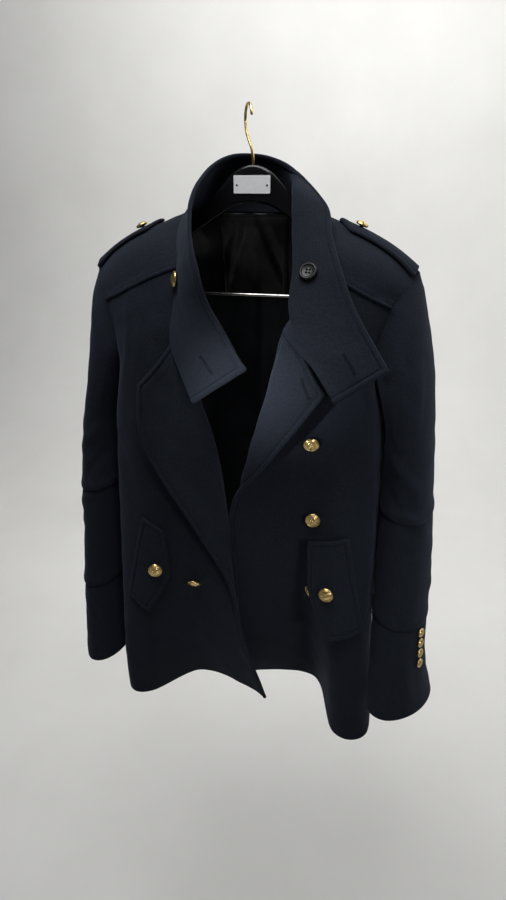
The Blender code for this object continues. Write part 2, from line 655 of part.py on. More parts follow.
def collar():
    """The collar, clear of the neckline it is sewn to, with its two buttons."""
    last = len(COLLAR_STATIONS) - 1
    along = np.linspace(0, last, COLLAR_ALONG + 1)
    grid, normals = collar_surface(COLLAR_ACROSS, along)
    stand_off = np.interp(along, *zip(*COLLAR_STAND_OFF))
    shaped = trimmed(grid, (0.0, 0.0, stand_off[:, None], 0.0))
    layered("collar", shaped, normals, COLLAR / 2, COLLAR / 2, "wool")
    for name, (station, rise), height, lift, colour in (
        ("button_collar", HORN_BUTTON_AT, HORN_BUTTON_HEIGHT, COLLAR_LIFT, "horn"),
        ("button_neck_right", NECK_BUTTON_AT, BUTTON_HEIGHT, NECK_LIFT, "gold"),
    ):
        row = round(station / last * COLLAR_ALONG)
        column = round(rise / 2 * COLLAR_ACROSS)
        axis = normals[row, column] * (1.0 if normals[row, column][1] < 0 else -1.0)
        button(name, grid[row, column], axis, BUTTON_RADIUS, height, COLLAR / 2 + lift, colour)


def armhole(front_rows, side):
    """The armhole as a loop of points: shoulder, front, underarm, back."""
    flip = np.array((side, 1.0, 1.0))
    back_side = np.array([row[0] for row in BACK_HALF[: UNDERARM_ROW + 1]]) * flip
    yoke_side = [np.array(SHOULDER[0]) * flip, np.array(YOKE_MIDDLE[0]) * flip, front_rows[0][SIDE]]
    front_side = [row[SIDE] for row in front_rows[: UNDERARM_ROW + 1]]
    ahead = spline(np.array(yoke_side), np.linspace(0, 2, 13))
    down = spline(np.array(front_side), np.linspace(0, 3, 19))
    up = spline(back_side, np.linspace(3, 0, 25))
    loop = np.concatenate([ahead[:-1], down[:-1], up])
    run = np.concatenate([[0], np.cumsum(np.linalg.norm(np.diff(loop, axis=0), axis=1))])
    under = len(ahead) + len(down) - 2
    half = SLEEVE_POINTS // 2
    wanted = np.concatenate([
        np.linspace(0, run[under], half + 1)[:-1],
        np.linspace(run[under], run[-1], half + 1)[:-1],
    ])
    return np.stack([np.interp(wanted, run, loop[:, axis]) for axis in range(3)], axis=1)


def sleeve_ring(table, side, angles, levels):
    """Points of the sleeve at an angle and a level each; angle 0 is outermost."""
    table = np.array(table)[::-1]
    columns = [np.interp(levels, table[:, 0], table[:, k]) for k in range(1, 5)]
    centre_x, centre_y, half_width, half_depth = columns
    x = side * (centre_x + half_width * np.cos(angles))
    swing = np.interp(levels, *zip(*SLEEVE_SWING[side]))
    y = centre_y - half_depth * np.sin(angles) + swing * half_width * np.cos(angles)
    return np.stack([x, y, levels], axis=1)


def sleeve_grid(table, loop, side, fractions):
    """Rings from the armhole down: rows are rings, columns go round."""
    angles = np.linspace(0, 2 * math.pi, SLEEVE_POINTS, endpoint=False)
    rings = []
    for fraction in fractions:
        level = SLEEVE_TOP + fraction * (SLEEVE_END - SLEEVE_TOP)
        settle = min(fraction / SLEEVE_LEVEL_AT, 1.0)
        settle = settle * settle * (3 - 2 * settle)
        start = loop[:, 2]
        levels = start + (level - start) * settle
        levels = np.minimum(levels, start - LEAST_FALL * fraction * (start - SLEEVE_END))
        ring = sleeve_ring(table, side, angles, levels)
        keep = max(1 - fraction / ARMHOLE_FADE, 0.0)
        keep = keep * keep
        drop = loop.copy()
        drop[:, 2] = levels
        rings.append(ring * (1 - keep) + drop * keep)
    return np.array(rings)


def sleeve(side, name, table, front_rows):
    """One sleeve: the upper and lower parts and the cuff."""
    loop = armhole(front_rows, side)
    middle = loop.mean(axis=0)
    into = unit((middle - loop) * (0.0, 1.0, 1.0))
    share = np.interp(loop[:, 2], (-0.42, -0.27, -0.21), (1.0, 0.8, 0.2))
    out = np.array((side * ARMHOLE_OUT, 0.0, 0.0))
    loop = loop + share[:, None] * (out + into * ARMHOLE_IN)
    every = sorted(set(UPPER_FRACTIONS + LOWER_FRACTIONS + CUFF_FRACTIONS))
    grid = sleeve_grid(table, loop, side, every)
    wrapped = np.concatenate([grid[:, -1:], grid, grid[:, :1]], axis=1)
    normals = normals_of(wrapped)[:, 1:-1] * side
    for part, fractions in (
        ("sleeve_upper", UPPER_FRACTIONS), ("sleeve_lower", LOWER_FRACTIONS), ("cuff", CUFF_FRACTIONS),
    ):
        rows = [every.index(fraction) for fraction in fractions]
        shaped = grid[rows]
        top = 0.0 if part == "sleeve_upper" else SEAM / 2
        foot = 0.0 if part == "cuff" else SEAM / 2
        shaped[0] += unit(grid[rows[1]] - grid[rows[0]]) * top
        shaped[-1] += unit(grid[rows[-2]] - grid[rows[-1]]) * foot
        turned = normals[rows] * WOOL / 2
        wall(f"{part}_{name}", shaped + turned, shaped - turned, "wool", closed=True)
    for number, level in enumerate(CUFF_BUTTON_LEVELS):
        turn = np.array([CUFF_BUTTON_TURN[name] + step for step in (-0.02, 0.0, 0.02)])
        ring = sleeve_ring(table, side, turn, np.full(3, level))
        lower = sleeve_ring(table, side, turn[1:2], np.array([level - 0.002]))[0]
        axis = np.cross(ring[2] - ring[0], lower - ring[1]) * side
        button(f"button_cuff_{name}_{number + 1}", ring[1], axis, CUFF_BUTTON_RADIUS,
               CUFF_BUTTON_HEIGHT, WOOL / 2 + CUFF_LIFT, "gold", 8)


def between(grid, columns, share):
    """The line down a grid at a share of the way along its columns."""
    return np.array([[np.interp(share, columns, row[:, k]) for k in range(3)] for row in grid])


def strap(side, name, yoke_grid, yoke_normals, back_grid, back_normals):
    """A shoulder strap over the shoulder seam, made from the yoke and the back."""
    us = FRONT_US[FRONT_US <= ROLL] / ROLL
    along = np.linspace(STRAP_START, STRAP_END[name], 7)
    points = []
    normals = []
    back_columns = BACK_US[BACK_US <= BACK_NECK] / BACK_NECK
    back_part = (back_grid if side > 0 else back_grid[:, ::-1])[:, : len(back_columns)]
    back_turn = (back_normals if side > 0 else back_normals[:, ::-1])[:, : len(back_columns)]
    for index, share in enumerate(along):
        narrow = STRAP_POINT if index == len(along) - 1 else 1.0
        ahead = [STRAP_HALF_FRONT * narrow * share for share in (1.0, 0.66, 0.33, 0.0)]
        behind = [STRAP_HALF_BACK * narrow * share for share in (0.5, 1.0)]
        line, turns = [], []
        for reaches, grid, turn, columns in (
            (ahead, yoke_grid, yoke_normals, us), (behind, back_part, back_turn, back_columns),
        ):
            column = between(grid, columns, share)
            turned = between(turn, columns, share)
            run = np.concatenate([[0], np.cumsum(np.linalg.norm(np.diff(column, axis=0), axis=1))])
            for reach in reaches:
                line.append([np.interp(reach, run, column[:, k]) for k in range(3)])
                turns.append([np.interp(reach, run, turned[:, k]) for k in range(3)])
        points.append(line)
        normals.append(turns)
    points, normals = np.array(points), unit(np.array(normals))
    near = WOOL / 2 + PIECE_GAP
    wall(f"shoulder_strap_{name}", points + normals * (near + STRAP), points + normals * near, "wool")
    row = STRAP_BUTTON_AT[name] * (len(along) - 1)
    centre = np.array([np.interp(row, range(len(along)), points[:, 3, k]) for k in range(3)])
    axis = np.array([np.interp(row, range(len(along)), normals[:, 3, k]) for k in range(3)])
    button(f"button_shoulder_{name}", centre, axis, STRAP_BUTTON_RADIUS, BUTTON_HEIGHT,
           near + STRAP + STRAP_LIFT, "gold")


# Hanger

def tube(name, path, radius, colour, around=10):
    """A round wire along a path with flat ends."""
    path = np.asarray(path, float)
    along = unit(np.gradient(path, axis=0))
    side = np.array((0.0, 1.0, 0.0)) if abs(along[0][1]) < 0.9 else np.array((1.0, 0.0, 0.0))
    points, faces = [], []
    for point, ahead in zip(path, along):
        side = unit(side - ahead * np.dot(side, ahead))
        up = np.cross(ahead, side)
        for step in range(around):
            angle = 2 * math.pi * step / around
            points.append(point + (side * math.cos(angle) + up * math.sin(angle)) * radius)
    for ring in range(len(path) - 1):
        for step in range(around):
            after = (step + 1) % around
            low, high = ring * around, (ring + 1) * around
            faces.append((low + step, low + after, high + after, high + step))
    end = (len(path) - 1) * around
    faces.append(tuple(reversed(range(around))))
    faces.append(tuple(end + step for step in range(around)))
    return solid(name, points, faces, colour)


def hanger_arms():
    top = np.array([(-x, z) for x, z in ARM_TOP[:0:-1]] + list(ARM_TOP))
    foot = np.array([(-x, z) for x, z in ARM_FOOT[:0:-1]] + list(ARM_FOOT))
    edge = ARM_EDGE
    sections = []
    for (x, high), (_, low) in zip(top, foot):
        sections.append((
            (x, -ARM_HALF_DEPTH + edge, high), (x, -ARM_HALF_DEPTH, high - edge),
            (x, -ARM_HALF_DEPTH, low + edge), (x, -ARM_HALF_DEPTH + edge, low),
            (x, ARM_HALF_DEPTH - edge, low), (x, ARM_HALF_DEPTH, low + edge),
            (x, ARM_HALF_DEPTH, high - edge), (x, ARM_HALF_DEPTH - edge, high),
        ))
    around = len(sections[0])
    points = [point for section in sections for point in section]
    faces = []
    for ring in range(len(sections) - 1):
        for step in range(around):
            after = (step + 1) % around
            low, high = ring * around, (ring + 1) * around
            faces.append((low + step, low + after, high + after, high + step))
    end = (len(sections) - 1) * around
    faces.append(tuple(range(around)))
    faces.append(tuple(end + step for step in reversed(range(around))))
    solid("hanger_arms", points, faces, "hanger")


def hanger_hook():
    """The hook: a stem from the arms and a bend whose inside top is the origin."""
    across = np.array((math.cos(HOOK_LEAN), -math.sin(HOOK_LEAN), 0.0))
    centre = np.array((0.0, 0.0, HOOK_RADIUS - HOOK_BEND))
    foot = np.array((-HANG_X, 0.0, 0.0))
    path = [foot + (0, 0, ARM_TOP[0][1] + SEAM), foot + (0, 0, -0.064)]
    for keep, swing, level in HOOK_STEM:
        path.append(foot * keep - across * swing + (0, 0, level))
    for degrees in range(205, 9, -15):
        angle = math.radians(degrees)
        path.append(centre + HOOK_BEND * (across * math.cos(angle) + np.array((0, 0, math.sin(angle)))))
    tube("hanger_hook", np.array(path) + (HANG_X, 0.0, 0.0), HOOK_RADIUS, "brass", 8)


def hanger_bar():
    """The trouser bar, which bends up to the arms at its ends."""
    top = ARM_FOOT[-2][1] - SEAM
    half = [(0.0, BAR_LEVEL), (BAR_HALF - BAR_BEND, BAR_LEVEL)]
    half += [(BAR_HALF - BAR_BEND / 4, BAR_LEVEL + BAR_BEND / 3)]
    half += [(BAR_HALF, BAR_LEVEL + BAR_BEND), (BAR_HALF, top)]
    path = [(-x, 0.0, z) for x, z in half[:0:-1]] + [(x, 0.0, z) for x, z in half]
    tube("hanger_bar", path, BAR_RADIUS, "steel", 8)


def box(name, low, high, colour):
    corners = [(x, y, z) for x in (low[0], high[0]) for y in (low[1], high[1]) for z in (low[2], high[2])]
    faces = [(0, 1, 3, 2), (4, 6, 7, 5), (0, 4, 5, 1), (2, 3, 7, 6), (0, 2, 6, 4), (1, 5, 7, 3)]
    solid(name, corners, faces, colour)


def back_lining(grid, normals):
    """The lining inside the back. Returns how deep its inner face lies."""
    near = WOOL / 2 + 2 * LAYER_GAP
    inner = trimmed(grid[:, 1:-1], (LINING_TOP, LINING_FOOT, 0.0, 0.0))
    layered("back_lining", inner, normals[:, 1:-1], near + LINING, -near, "lining")
    return near + LINING


def neck_patch(grid, normals, depth):
    """The leather patch on the lining, from the back's own points."""
    flat = grid.reshape(-1, 3)
    turns = normals.reshape(-1, 3)
    across = np.linspace(-PATCH_WIDTH / 2, PATCH_WIDTH / 2, 6) + PATCH_X
    levels = np.linspace(PATCH_TOP, PATCH_FOOT, 7)
    behind = flat[:, 1] > 0.03
    points, ways = [], []
    for level in levels:
        row, way = [], []
        for x in across:
            far = (flat[:, 0] - x) ** 2 + (flat[:, 2] - level) ** 2 + np.where(behind, 0.0, 1.0)
            nearest = np.argsort(far)[:6]
            weight = 1 / (far[nearest] + 1e-5)
            weight = weight / weight.sum()
            row.append((x, float((flat[nearest, 1] * weight).sum()), level))
            way.append((turns[nearest] * weight[:, None]).sum(axis=0))
        points.append(row)
        ways.append(way)
    points, ways = np.array(points), unit(np.array(ways))
    near = depth + PATCH_OFF
    wall("neck_patch", points - ways * near, points - ways * (near + PATCH), "leather")


def main():
    for obj in list(bpy.data.objects):
        bpy.data.objects.remove(obj, do_unlink=True)
    back_grid, back_normals = back_surface()
    shaped = trimmed(back_grid, (SEAM / 2, 0.0, SEAM / 2, SEAM / 2))
    layered("back", shaped, back_normals, WOOL / 2, WOOL / 2, "wool")
    depth = back_lining(back_grid, back_normals)
    neck_patch(back_grid, back_normals, depth)

    for side, name, rows, table, corners, lift in (
        (1.0, "left", FRONT_LEFT, SLEEVE_LEFT, FLAP_LEFT, FLAP_LIFT_LEFT),
        (-1.0, "right", FRONT_RIGHT, SLEEVE_RIGHT, FLAP_RIGHT, FLAP_LIFT_RIGHT),
    ):
        grid, normals, has = front(f"front_{name}", rows)
        facing(f"facing_{name}", grid, normals, has)
        yoke_grid, yoke_normals = yoke_surface(rows, side)
        shaped = trimmed(yoke_grid, (2 * SEAM, SEAM / 2, 0.0, 0.0))
        layered(f"yoke_{name}", shaped, yoke_normals, WOOL / 2, WOOL / 2, "wool")
        sleeve(side, name, table, rows)
        strap(side, name, yoke_grid, yoke_normals, back_grid, back_normals)
        panel = Panel(rows)
        pocket_flap(name, panel, corners, lift)
        on_cloth = WOOL / 2 + BUTTON_LIFT
        for number, (x, z) in enumerate(FRONT_BUTTONS[f"front_{name}"]):
            centre, axis = panel.at(x, z)
            button(f"button_front_{name}_{number + 1}", centre, axis, BUTTON_RADIUS, BUTTON_HEIGHT,
                   on_cloth, "gold")

    centre, axis = Panel(FRONT_LEFT).at(*NECK_BUTTON_LEFT)
    button("button_neck_left", centre, axis, BUTTON_RADIUS, BUTTON_HEIGHT, WOOL / 2 + BUTTON_LIFT, "gold")
    collar()
    hanger_arms()
    hanger_hook()
    hanger_bar()
    face = -ARM_HALF_DEPTH - LAYER_GAP
    box("hanger_plate", (-PLATE_HALF_WIDTH, face - PLATE_DEPTH, PLATE_FOOT),
        (PLATE_HALF_WIDTH, face, PLATE_TOP), "plate")


main()
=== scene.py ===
"""Looks of a double-breasted wool coat that hangs open on its hanger.

The nets of points are those of the solids, measured from the middle of the hanger's
arms, and MIDDLE carries them to the part's frame. Lengths are in metres.
Left and right are the wearer's, so the coat's left front lies at +X.
"""

import math

import bpy
import numpy as np
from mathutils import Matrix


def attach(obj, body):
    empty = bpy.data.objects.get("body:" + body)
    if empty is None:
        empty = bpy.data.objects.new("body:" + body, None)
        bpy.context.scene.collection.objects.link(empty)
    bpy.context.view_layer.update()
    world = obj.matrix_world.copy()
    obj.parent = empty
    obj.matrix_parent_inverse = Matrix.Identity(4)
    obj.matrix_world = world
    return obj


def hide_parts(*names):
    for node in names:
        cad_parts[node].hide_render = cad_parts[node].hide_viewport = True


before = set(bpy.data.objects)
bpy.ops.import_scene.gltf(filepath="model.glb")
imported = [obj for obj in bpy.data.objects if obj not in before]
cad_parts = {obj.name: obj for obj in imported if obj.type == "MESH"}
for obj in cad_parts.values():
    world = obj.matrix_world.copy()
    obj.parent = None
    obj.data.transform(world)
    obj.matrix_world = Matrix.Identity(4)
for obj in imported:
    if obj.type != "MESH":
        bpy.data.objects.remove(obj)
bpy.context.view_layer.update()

MIDDLE = np.array((0.006, 0.0, 0.0))

# Cloth thicknesses and the layers' gap
WOOL = 0.0024
FACING = 0.0016
LINING = 0.0010
COLLAR = 0.0042
FLAP = 0.0036
STRAP = 0.0040
PATCH = 0.0014
LAYER_GAP = 0.0004
PIECE_GAP = 0.0014

# Topstitching: its distance from the edge, and the groove and swell that it makes
STITCH_IN, STITCH_DEEP, STITCH_WIDE = 0.0062, 0.0011, 0.0017
SWELL, SWELL_AT, SWELL_WIDE = 0.0007, 0.4 * STITCH_IN, 0.6 * STITCH_IN
STITCH_STEP, STITCH_LONG, STITCH_RADIUS = 0.0036, 0.0026, 0.00036
# A stitch's rings: share of its length and of its radius
STITCH_SIDES, STITCH_RINGS = 5, ((-0.5, 0.35), (-0.25, 0.95), (0.25, 0.95), (0.5, 0.35))

# The least tangents at a lapel's roll and the collar's, which keep the bends open
ROLL_PULL, COLLAR_PULL = 0.050, 0.030

# Rows of a front by number: the notch, the underarm and the hem, then its columns
NOTCH_ROW = 2
UNDERARM_ROW = 3
HEM_ROW = 8
SIDE, RIDGE, ROLL, EDGE = 0, 1, 4, 5

# Shoulder seam of the left side from the sleeve to the neck
SHOULDER = (
    (0.230, -0.002, -0.207),
    (0.197, -0.002, -0.182),
    (0.163, -0.002, -0.163),
    (0.128, -0.002, -0.148),
    (0.092, -0.002, -0.134),
)
# Half way down the yoke, from the sleeve to the neck
YOKE_MIDDLE = (
    (0.219, -0.036, -0.222),
    (0.190, -0.049, -0.200),
    (0.160, -0.056, -0.183),
    (0.128, -0.058, -0.170),
    (0.092, -0.050, -0.158),
)
# The right front, which lies open. Columns: side, ridge, inner, neck, roll, edge.
# The two rows above the notch end at the neckline.
FRONT_RIGHT = (
    ((-0.200, -0.060, -0.246), (-0.172, -0.077, -0.234), (-0.145, -0.085, -0.221),
     (-0.114, -0.088, -0.207), (-0.082, -0.086, -0.196)),
    ((-0.184, -0.072, -0.290), (-0.165, -0.090, -0.275), (-0.142, -0.098, -0.262),
     (-0.113, -0.102, -0.252), (-0.083, -0.103, -0.244)),
    ((-0.182, -0.068, -0.335), (-0.168, -0.092, -0.322), (-0.146, -0.106, -0.310),
     (-0.118, -0.112, -0.300), (-0.085, -0.117, -0.292), (-0.123, -0.150, -0.346)),
    ((-0.199, -0.004, -0.420), (-0.186, -0.078, -0.395), (-0.152, -0.108, -0.385),
     (-0.108, -0.116, -0.375), (-0.052, -0.122, -0.368), (-0.123, -0.155, -0.405)),
    ((-0.202, 0.000, -0.490), (-0.190, -0.084, -0.480), (-0.152, -0.114, -0.470),
     (-0.098, -0.117, -0.462), (-0.025, -0.122, -0.458), (-0.106, -0.153, -0.460)),
    ((-0.203, 0.000, -0.580), (-0.191, -0.090, -0.575), (-0.148, -0.120, -0.570),
     (-0.090, -0.112, -0.565), (-0.015, -0.116, -0.560), (-0.052, -0.144, -0.560)),
    ((-0.203, 0.000, -0.670), (-0.193, -0.095, -0.670), (-0.146, -0.123, -0.670),
     (-0.086, -0.102, -0.668), (-0.018, -0.107, -0.665), (-0.008, -0.124, -0.662)),
    ((-0.203, -0.002, -0.785), (-0.195, -0.100, -0.785), (-0.150, -0.120, -0.785),
     (-0.084, -0.078, -0.785), (-0.016, -0.085, -0.783), (0.008, -0.100, -0.780)),
    ((-0.209, -0.012, -0.900), (-0.192, -0.104, -0.900), (-0.151, -0.110, -0.900),
     (-0.085, -0.040, -0.900), (-0.002, -0.060, -0.900), (0.041, -0.087, -0.898)),
)

# The left front, which laps behind the right one at the hem. Same columns.
FRONT_LEFT = (
    ((0.198, -0.060, -0.243), (0.171, -0.078, -0.228), (0.146, -0.086, -0.214),
     (0.122, -0.089, -0.201), (0.098, -0.087, -0.190)),
    ((0.183, -0.072, -0.288), (0.163, -0.092, -0.272), (0.140, -0.101, -0.258),
     (0.118, -0.106, -0.247), (0.092, -0.108, -0.238)),
    ((0.181, -0.068, -0.335), (0.168, -0.094, -0.318), (0.146, -0.108, -0.304),
     (0.112, -0.117, -0.286), (0.073, -0.128, -0.269), (0.128, -0.160, -0.340)),
    ((0.199, -0.004, -0.420), (0.186, -0.080, -0.400), (0.152, -0.110, -0.385),
     (0.108, -0.120, -0.370), (0.053, -0.136, -0.351), (0.100, -0.165, -0.380)),
    ((0.202, 0.000, -0.490), (0.192, -0.086, -0.480), (0.153, -0.116, -0.465),
     (0.104, -0.116, -0.450), (0.034, -0.134, -0.435), (0.060, -0.156, -0.436)),
    ((0.203, 0.000, -0.580), (0.194, -0.096, -0.575), (0.152, -0.124, -0.565),
     (0.100, -0.106, -0.550), (0.020, -0.115, -0.535), (-0.004, -0.123, -0.533)),
    ((0.203, 0.000, -0.670), (0.195, -0.106, -0.670), (0.150, -0.130, -0.670),
     (0.098, -0.088, -0.665), (0.020, -0.093, -0.660), (-0.007, -0.098, -0.655)),
    ((0.203, -0.002, -0.785), (0.196, -0.122, -0.785), (0.154, -0.130, -0.785),
     (0.108, -0.047, -0.785), (0.020, -0.064, -0.783), (-0.010, -0.075, -0.780)),
    ((0.209, -0.012, -0.900), (0.211, -0.126, -0.900), (0.160, -0.132, -0.900),
     (0.115, -0.013, -0.900), (0.020, -0.017, -0.900), (-0.015, -0.048, -0.898)),
)

# The back's left half. Columns: side, blade, inner, neck point, middle.
BACK_HALF = (
    ((0.230, -0.002, -0.207), (0.186, -0.002, -0.175), (0.140, -0.002, -0.153),
     (0.092, -0.002, -0.134), (0.000, 0.070, -0.136)),
    ((0.213, 0.045, -0.245), (0.180, 0.064, -0.226), (0.138, 0.077, -0.212),
     (0.092, 0.083, -0.204), (0.000, 0.091, -0.212)),
    ((0.190, 0.072, -0.310), (0.168, 0.086, -0.310), (0.134, 0.094, -0.310),
     (0.090, 0.097, -0.310), (0.000, 0.097, -0.310)),
    ((0.199, -0.004, -0.420), (0.189, 0.060, -0.420), (0.150, 0.089, -0.420),
     (0.098, 0.096, -0.420), (0.000, 0.094, -0.420)),
    ((0.202, 0.000, -0.490), (0.189, 0.057, -0.490), (0.148, 0.084, -0.490),
     (0.097, 0.091, -0.490), (0.000, 0.088, -0.490)),
    ((0.203, 0.000, -0.580), (0.189, 0.055, -0.580), (0.147, 0.080, -0.580),
     (0.097, 0.086, -0.580), (0.000, 0.083, -0.580)),
    ((0.203, 0.000, -0.670), (0.191, 0.055, -0.670), (0.149, 0.079, -0.670),
     (0.099, 0.084, -0.670), (0.000, 0.082, -0.670)),
    ((0.203, -0.002, -0.785), (0.194, 0.054, -0.785), (0.153, 0.079, -0.785),
     (0.102, 0.081, -0.785), (0.000, 0.083, -0.785)),
    ((0.209, -0.012, -0.900), (0.203, 0.050, -0.900), (0.160, 0.079, -0.900),
     (0.105, 0.078, -0.900), (0.000, 0.084, -0.900)),
)

# Collar from its right end round the neck to its left end: the lower edge,
# the middle or roll, and the free edge
COLLAR_STATIONS = (
    ((-0.039, -0.172, -0.357), (-0.003, -0.180, -0.331), (0.032, -0.182, -0.307)),
    ((-0.060, -0.148, -0.331), (-0.024, -0.165, -0.311), (0.017, -0.170, -0.293)),
    ((-0.085, -0.119, -0.292), (-0.044, -0.148, -0.283), (0.004, -0.160, -0.276)),
    ((-0.083, -0.103, -0.244), (-0.055, -0.134, -0.239), (-0.021, -0.160, -0.234)),
    ((-0.082, -0.086, -0.196), (-0.061, -0.124, -0.191), (-0.034, -0.158, -0.192)),
    ((-0.092, -0.050, -0.158), (-0.0685, -0.091, -0.1505), (-0.051, -0.128, -0.151)),
    ((-0.092, -0.002, -0.134), (-0.0725, -0.041, -0.119), (-0.0585, -0.079, -0.1040)),
    ((-0.060, 0.050, -0.134), (-0.063, 0.042, -0.098), (-0.050, 0.012, -0.067)),
    ((0.000, 0.070, -0.136), (-0.002, 0.073, -0.100), (-0.004, 0.050, -0.060)),
    ((0.060, 0.050, -0.134), (0.044, 0.045, -0.093), (0.047, 0.036, -0.0775)),
    ((0.092, -0.002, -0.134), (0.060, -0.022, -0.107), (0.103, -0.024, -0.122)),
    ((0.092, -0.050, -0.158), (0.070, -0.066, -0.156), (0.118, -0.072, -0.158)),
    ((0.098, -0.087, -0.190), (0.0785, -0.102, -0.200), (0.136, -0.112, -0.196)),
    ((0.092, -0.108, -0.238), (0.081, -0.131, -0.240), (0.156, -0.136, -0.236)),
    ((0.073, -0.131, -0.269), (0.107, -0.151, -0.272), (0.178, -0.153, -0.268)),
    ((0.113, -0.160, -0.305), (0.147, -0.168, -0.297), (0.191, -0.160, -0.286)),
    ((0.144, -0.184, -0.341), (0.174, -0.178, -0.321), (0.203, -0.166, -0.303)),
)

# Sleeves by level: z, centre x and y, half width, half depth
SLEEVE_LEFT = (
    (-0.200, 0.196, 0.000, 0.038, 0.074),
    (-0.270, 0.208, -0.004, 0.042, 0.074),
    (-0.340, 0.221, -0.012, 0.042, 0.074),
    (-0.430, 0.2385, -0.024, 0.0335, 0.072),
    (-0.530, 0.242, -0.036, 0.037, 0.068),
    (-0.620, 0.2448, -0.048, 0.0398, 0.064),
    (-0.700, 0.2458, -0.062, 0.0398, 0.061),
    (-0.770, 0.248, -0.078, 0.041, 0.058),
    (-0.840, 0.256, -0.094, 0.048, 0.056),
)
SLEEVE_RIGHT = (
    (-0.200, 0.198, 0.000, 0.038, 0.074),
    (-0.270, 0.2035, -0.004, 0.0365, 0.074),
    (-0.340, 0.2113, -0.010, 0.0323, 0.074),
    (-0.430, 0.2303, -0.020, 0.0243, 0.073),
    (-0.530, 0.236, -0.032, 0.028, 0.069),
    (-0.620, 0.2385, -0.042, 0.0275, 0.066),
    (-0.700, 0.2413, -0.050, 0.0283, 0.064),
    (-0.770, 0.2415, -0.057, 0.0295, 0.063),
    (-0.840, 0.241, -0.064, 0.032, 0.062),
)
# How far the outer side swings to the back, as a share of the half width, by level
SLEEVE_SWING = {1.0: ((-0.840, 0.50), (-0.700, 0.0)), -1.0: ((-0.840, 0.0), (-0.700, 0.0))}
SLEEVE_POINTS = 108
# Share of a sleeve over which its armhole's outline fades, and the least fall of a ring
ARMHOLE_FADE, LEAST_FALL = 0.30, 0.22
# A sleeve's top rim stands this far out of its armhole and within it
ARMHOLE_OUT, ARMHOLE_IN = 0.0034, 0.0036
# Share of that by level, and the rows that tuck the rim into the seam
ARMHOLE_SHARE, ARMHOLE_TUCK = ((-0.42, 1.0), (-0.27, 0.8), (-0.21, 0.2)), (0.0, 0.4, 0.8)
SLEEVE_CALM_FROM, SLEEVE_CALM_OVER = 0.02, 0.05
# Sampling of an armhole's side at the yoke, the front and the back
ARMHOLE_YOKE, ARMHOLE_FRONT, ARMHOLE_BACK = 13, 19, 25
# Fraction of the way from the armhole to the cuff's hem
SLEEVE_LEVEL_AT = 0.50
SLEEVE_TOP, SLEEVE_END = -0.207, -0.840
# Pocket flaps: x and z of the sewn side's top and foot, then of the free side's
# top, point and foot
FLAP_RIGHT = ((-0.141, -0.561), (-0.171, -0.698), (-0.113, -0.582), (-0.108, -0.657), (-0.142, -0.722))
FLAP_LEFT = ((0.164, -0.558), (0.190, -0.707), (0.119, -0.570), (0.125, -0.650), (0.152, -0.717))
# How far a flap's free side stands off the front; the left one lies over a button
FLAP_LIFT_RIGHT, FLAP_LIFT_LEFT = 0.0040, 0.0125
FLAP_CURL = 1.2
# Shoulder straps: share of the shoulder seam from the sleeve, and half widths
STRAP_START, STRAP_END = 0.03, {"left": 0.80, "right": 0.73}
STRAP_HALF_FRONT, STRAP_HALF_BACK = 0.026, 0.022
STRAP_POINT, STRAP_TAPER = 0.25, 6
STRAP_ROWS, STRAP_POINT_ROWS = 34, 20

# Leather patch inside the back neck
PATCH_X, PATCH_WIDTH = -0.016, 0.102
PATCH_TOP, PATCH_FOOT = -0.138, -0.264
# Hanger
ARM_HALF_DEPTH = 0.0055
ARM_TOP = ((0.0, -0.073), (0.024, -0.081), (0.046, -0.102), (0.070, -0.129), (0.094, -0.1445),
           (0.128, -0.157), (0.163, -0.170), (0.192, -0.188), (0.206, -0.202))
ARM_FOOT = ((0.0, -0.121), (0.024, -0.125), (0.046, -0.137), (0.070, -0.152), (0.094, -0.167),
            (0.128, -0.184), (0.163, -0.202), (0.192, -0.217), (0.206, -0.222))
# Where the hook hangs, measured from the middle of the arms
HANG_X = -0.006
HOOK_RADIUS = 0.0019
HOOK_BEND = 0.0165
HOOK_LEAN = math.radians(62)
# The stem's way to the bend: share of the foot's offset, swing to the back, level
HOOK_STEM = ((0.8, 0.003, -0.052), (0.3, 0.008, -0.040), (0.0, 0.012, -0.030))
BAR_RADIUS = 0.0021
BAR_LEVEL = -0.246
BAR_HALF, BAR_BEND = 0.186, 0.008
PLATE_HALF_WIDTH, PLATE_TOP, PLATE_FOOT, PLATE_DEPTH = 0.0255, -0.086, -0.109, 0.0012


# Creases of the fronts and the back: x and z of both ends, half width, height, bow
CREASES_RIGHT = (
    (-0.182, -0.385, -0.118, -0.500, 0.026, 0.0030, 0.010),
    (-0.176, -0.430, -0.150, -0.545, 0.018, -0.0022, 0.006),
    (-0.105, -0.300, -0.140, -0.420, 0.030, 0.0024, -0.008),
    (-0.176, -0.730, -0.186, -0.900, 0.016, 0.0026, 0.004),
    (-0.130, -0.745, -0.122, -0.905, 0.024, -0.0034, -0.006),
    (-0.058, -0.700, -0.040, -0.880, 0.028, 0.0030, 0.008),
)
CREASES_LEFT = (
    (0.186, -0.390, 0.150, -0.500, 0.022, 0.0030, -0.008),
    (0.172, -0.420, 0.140, -0.540, 0.020, -0.0024, -0.006),
    (0.100, -0.310, 0.150, -0.400, 0.030, 0.0022, 0.008),
    (0.182, -0.735, 0.192, -0.900, 0.018, -0.0030, 0.004),
    (0.120, -0.740, 0.104, -0.905, 0.026, 0.0034, -0.006),
    (0.066, -0.620, 0.058, -0.860, 0.030, -0.0026, 0.010),
)
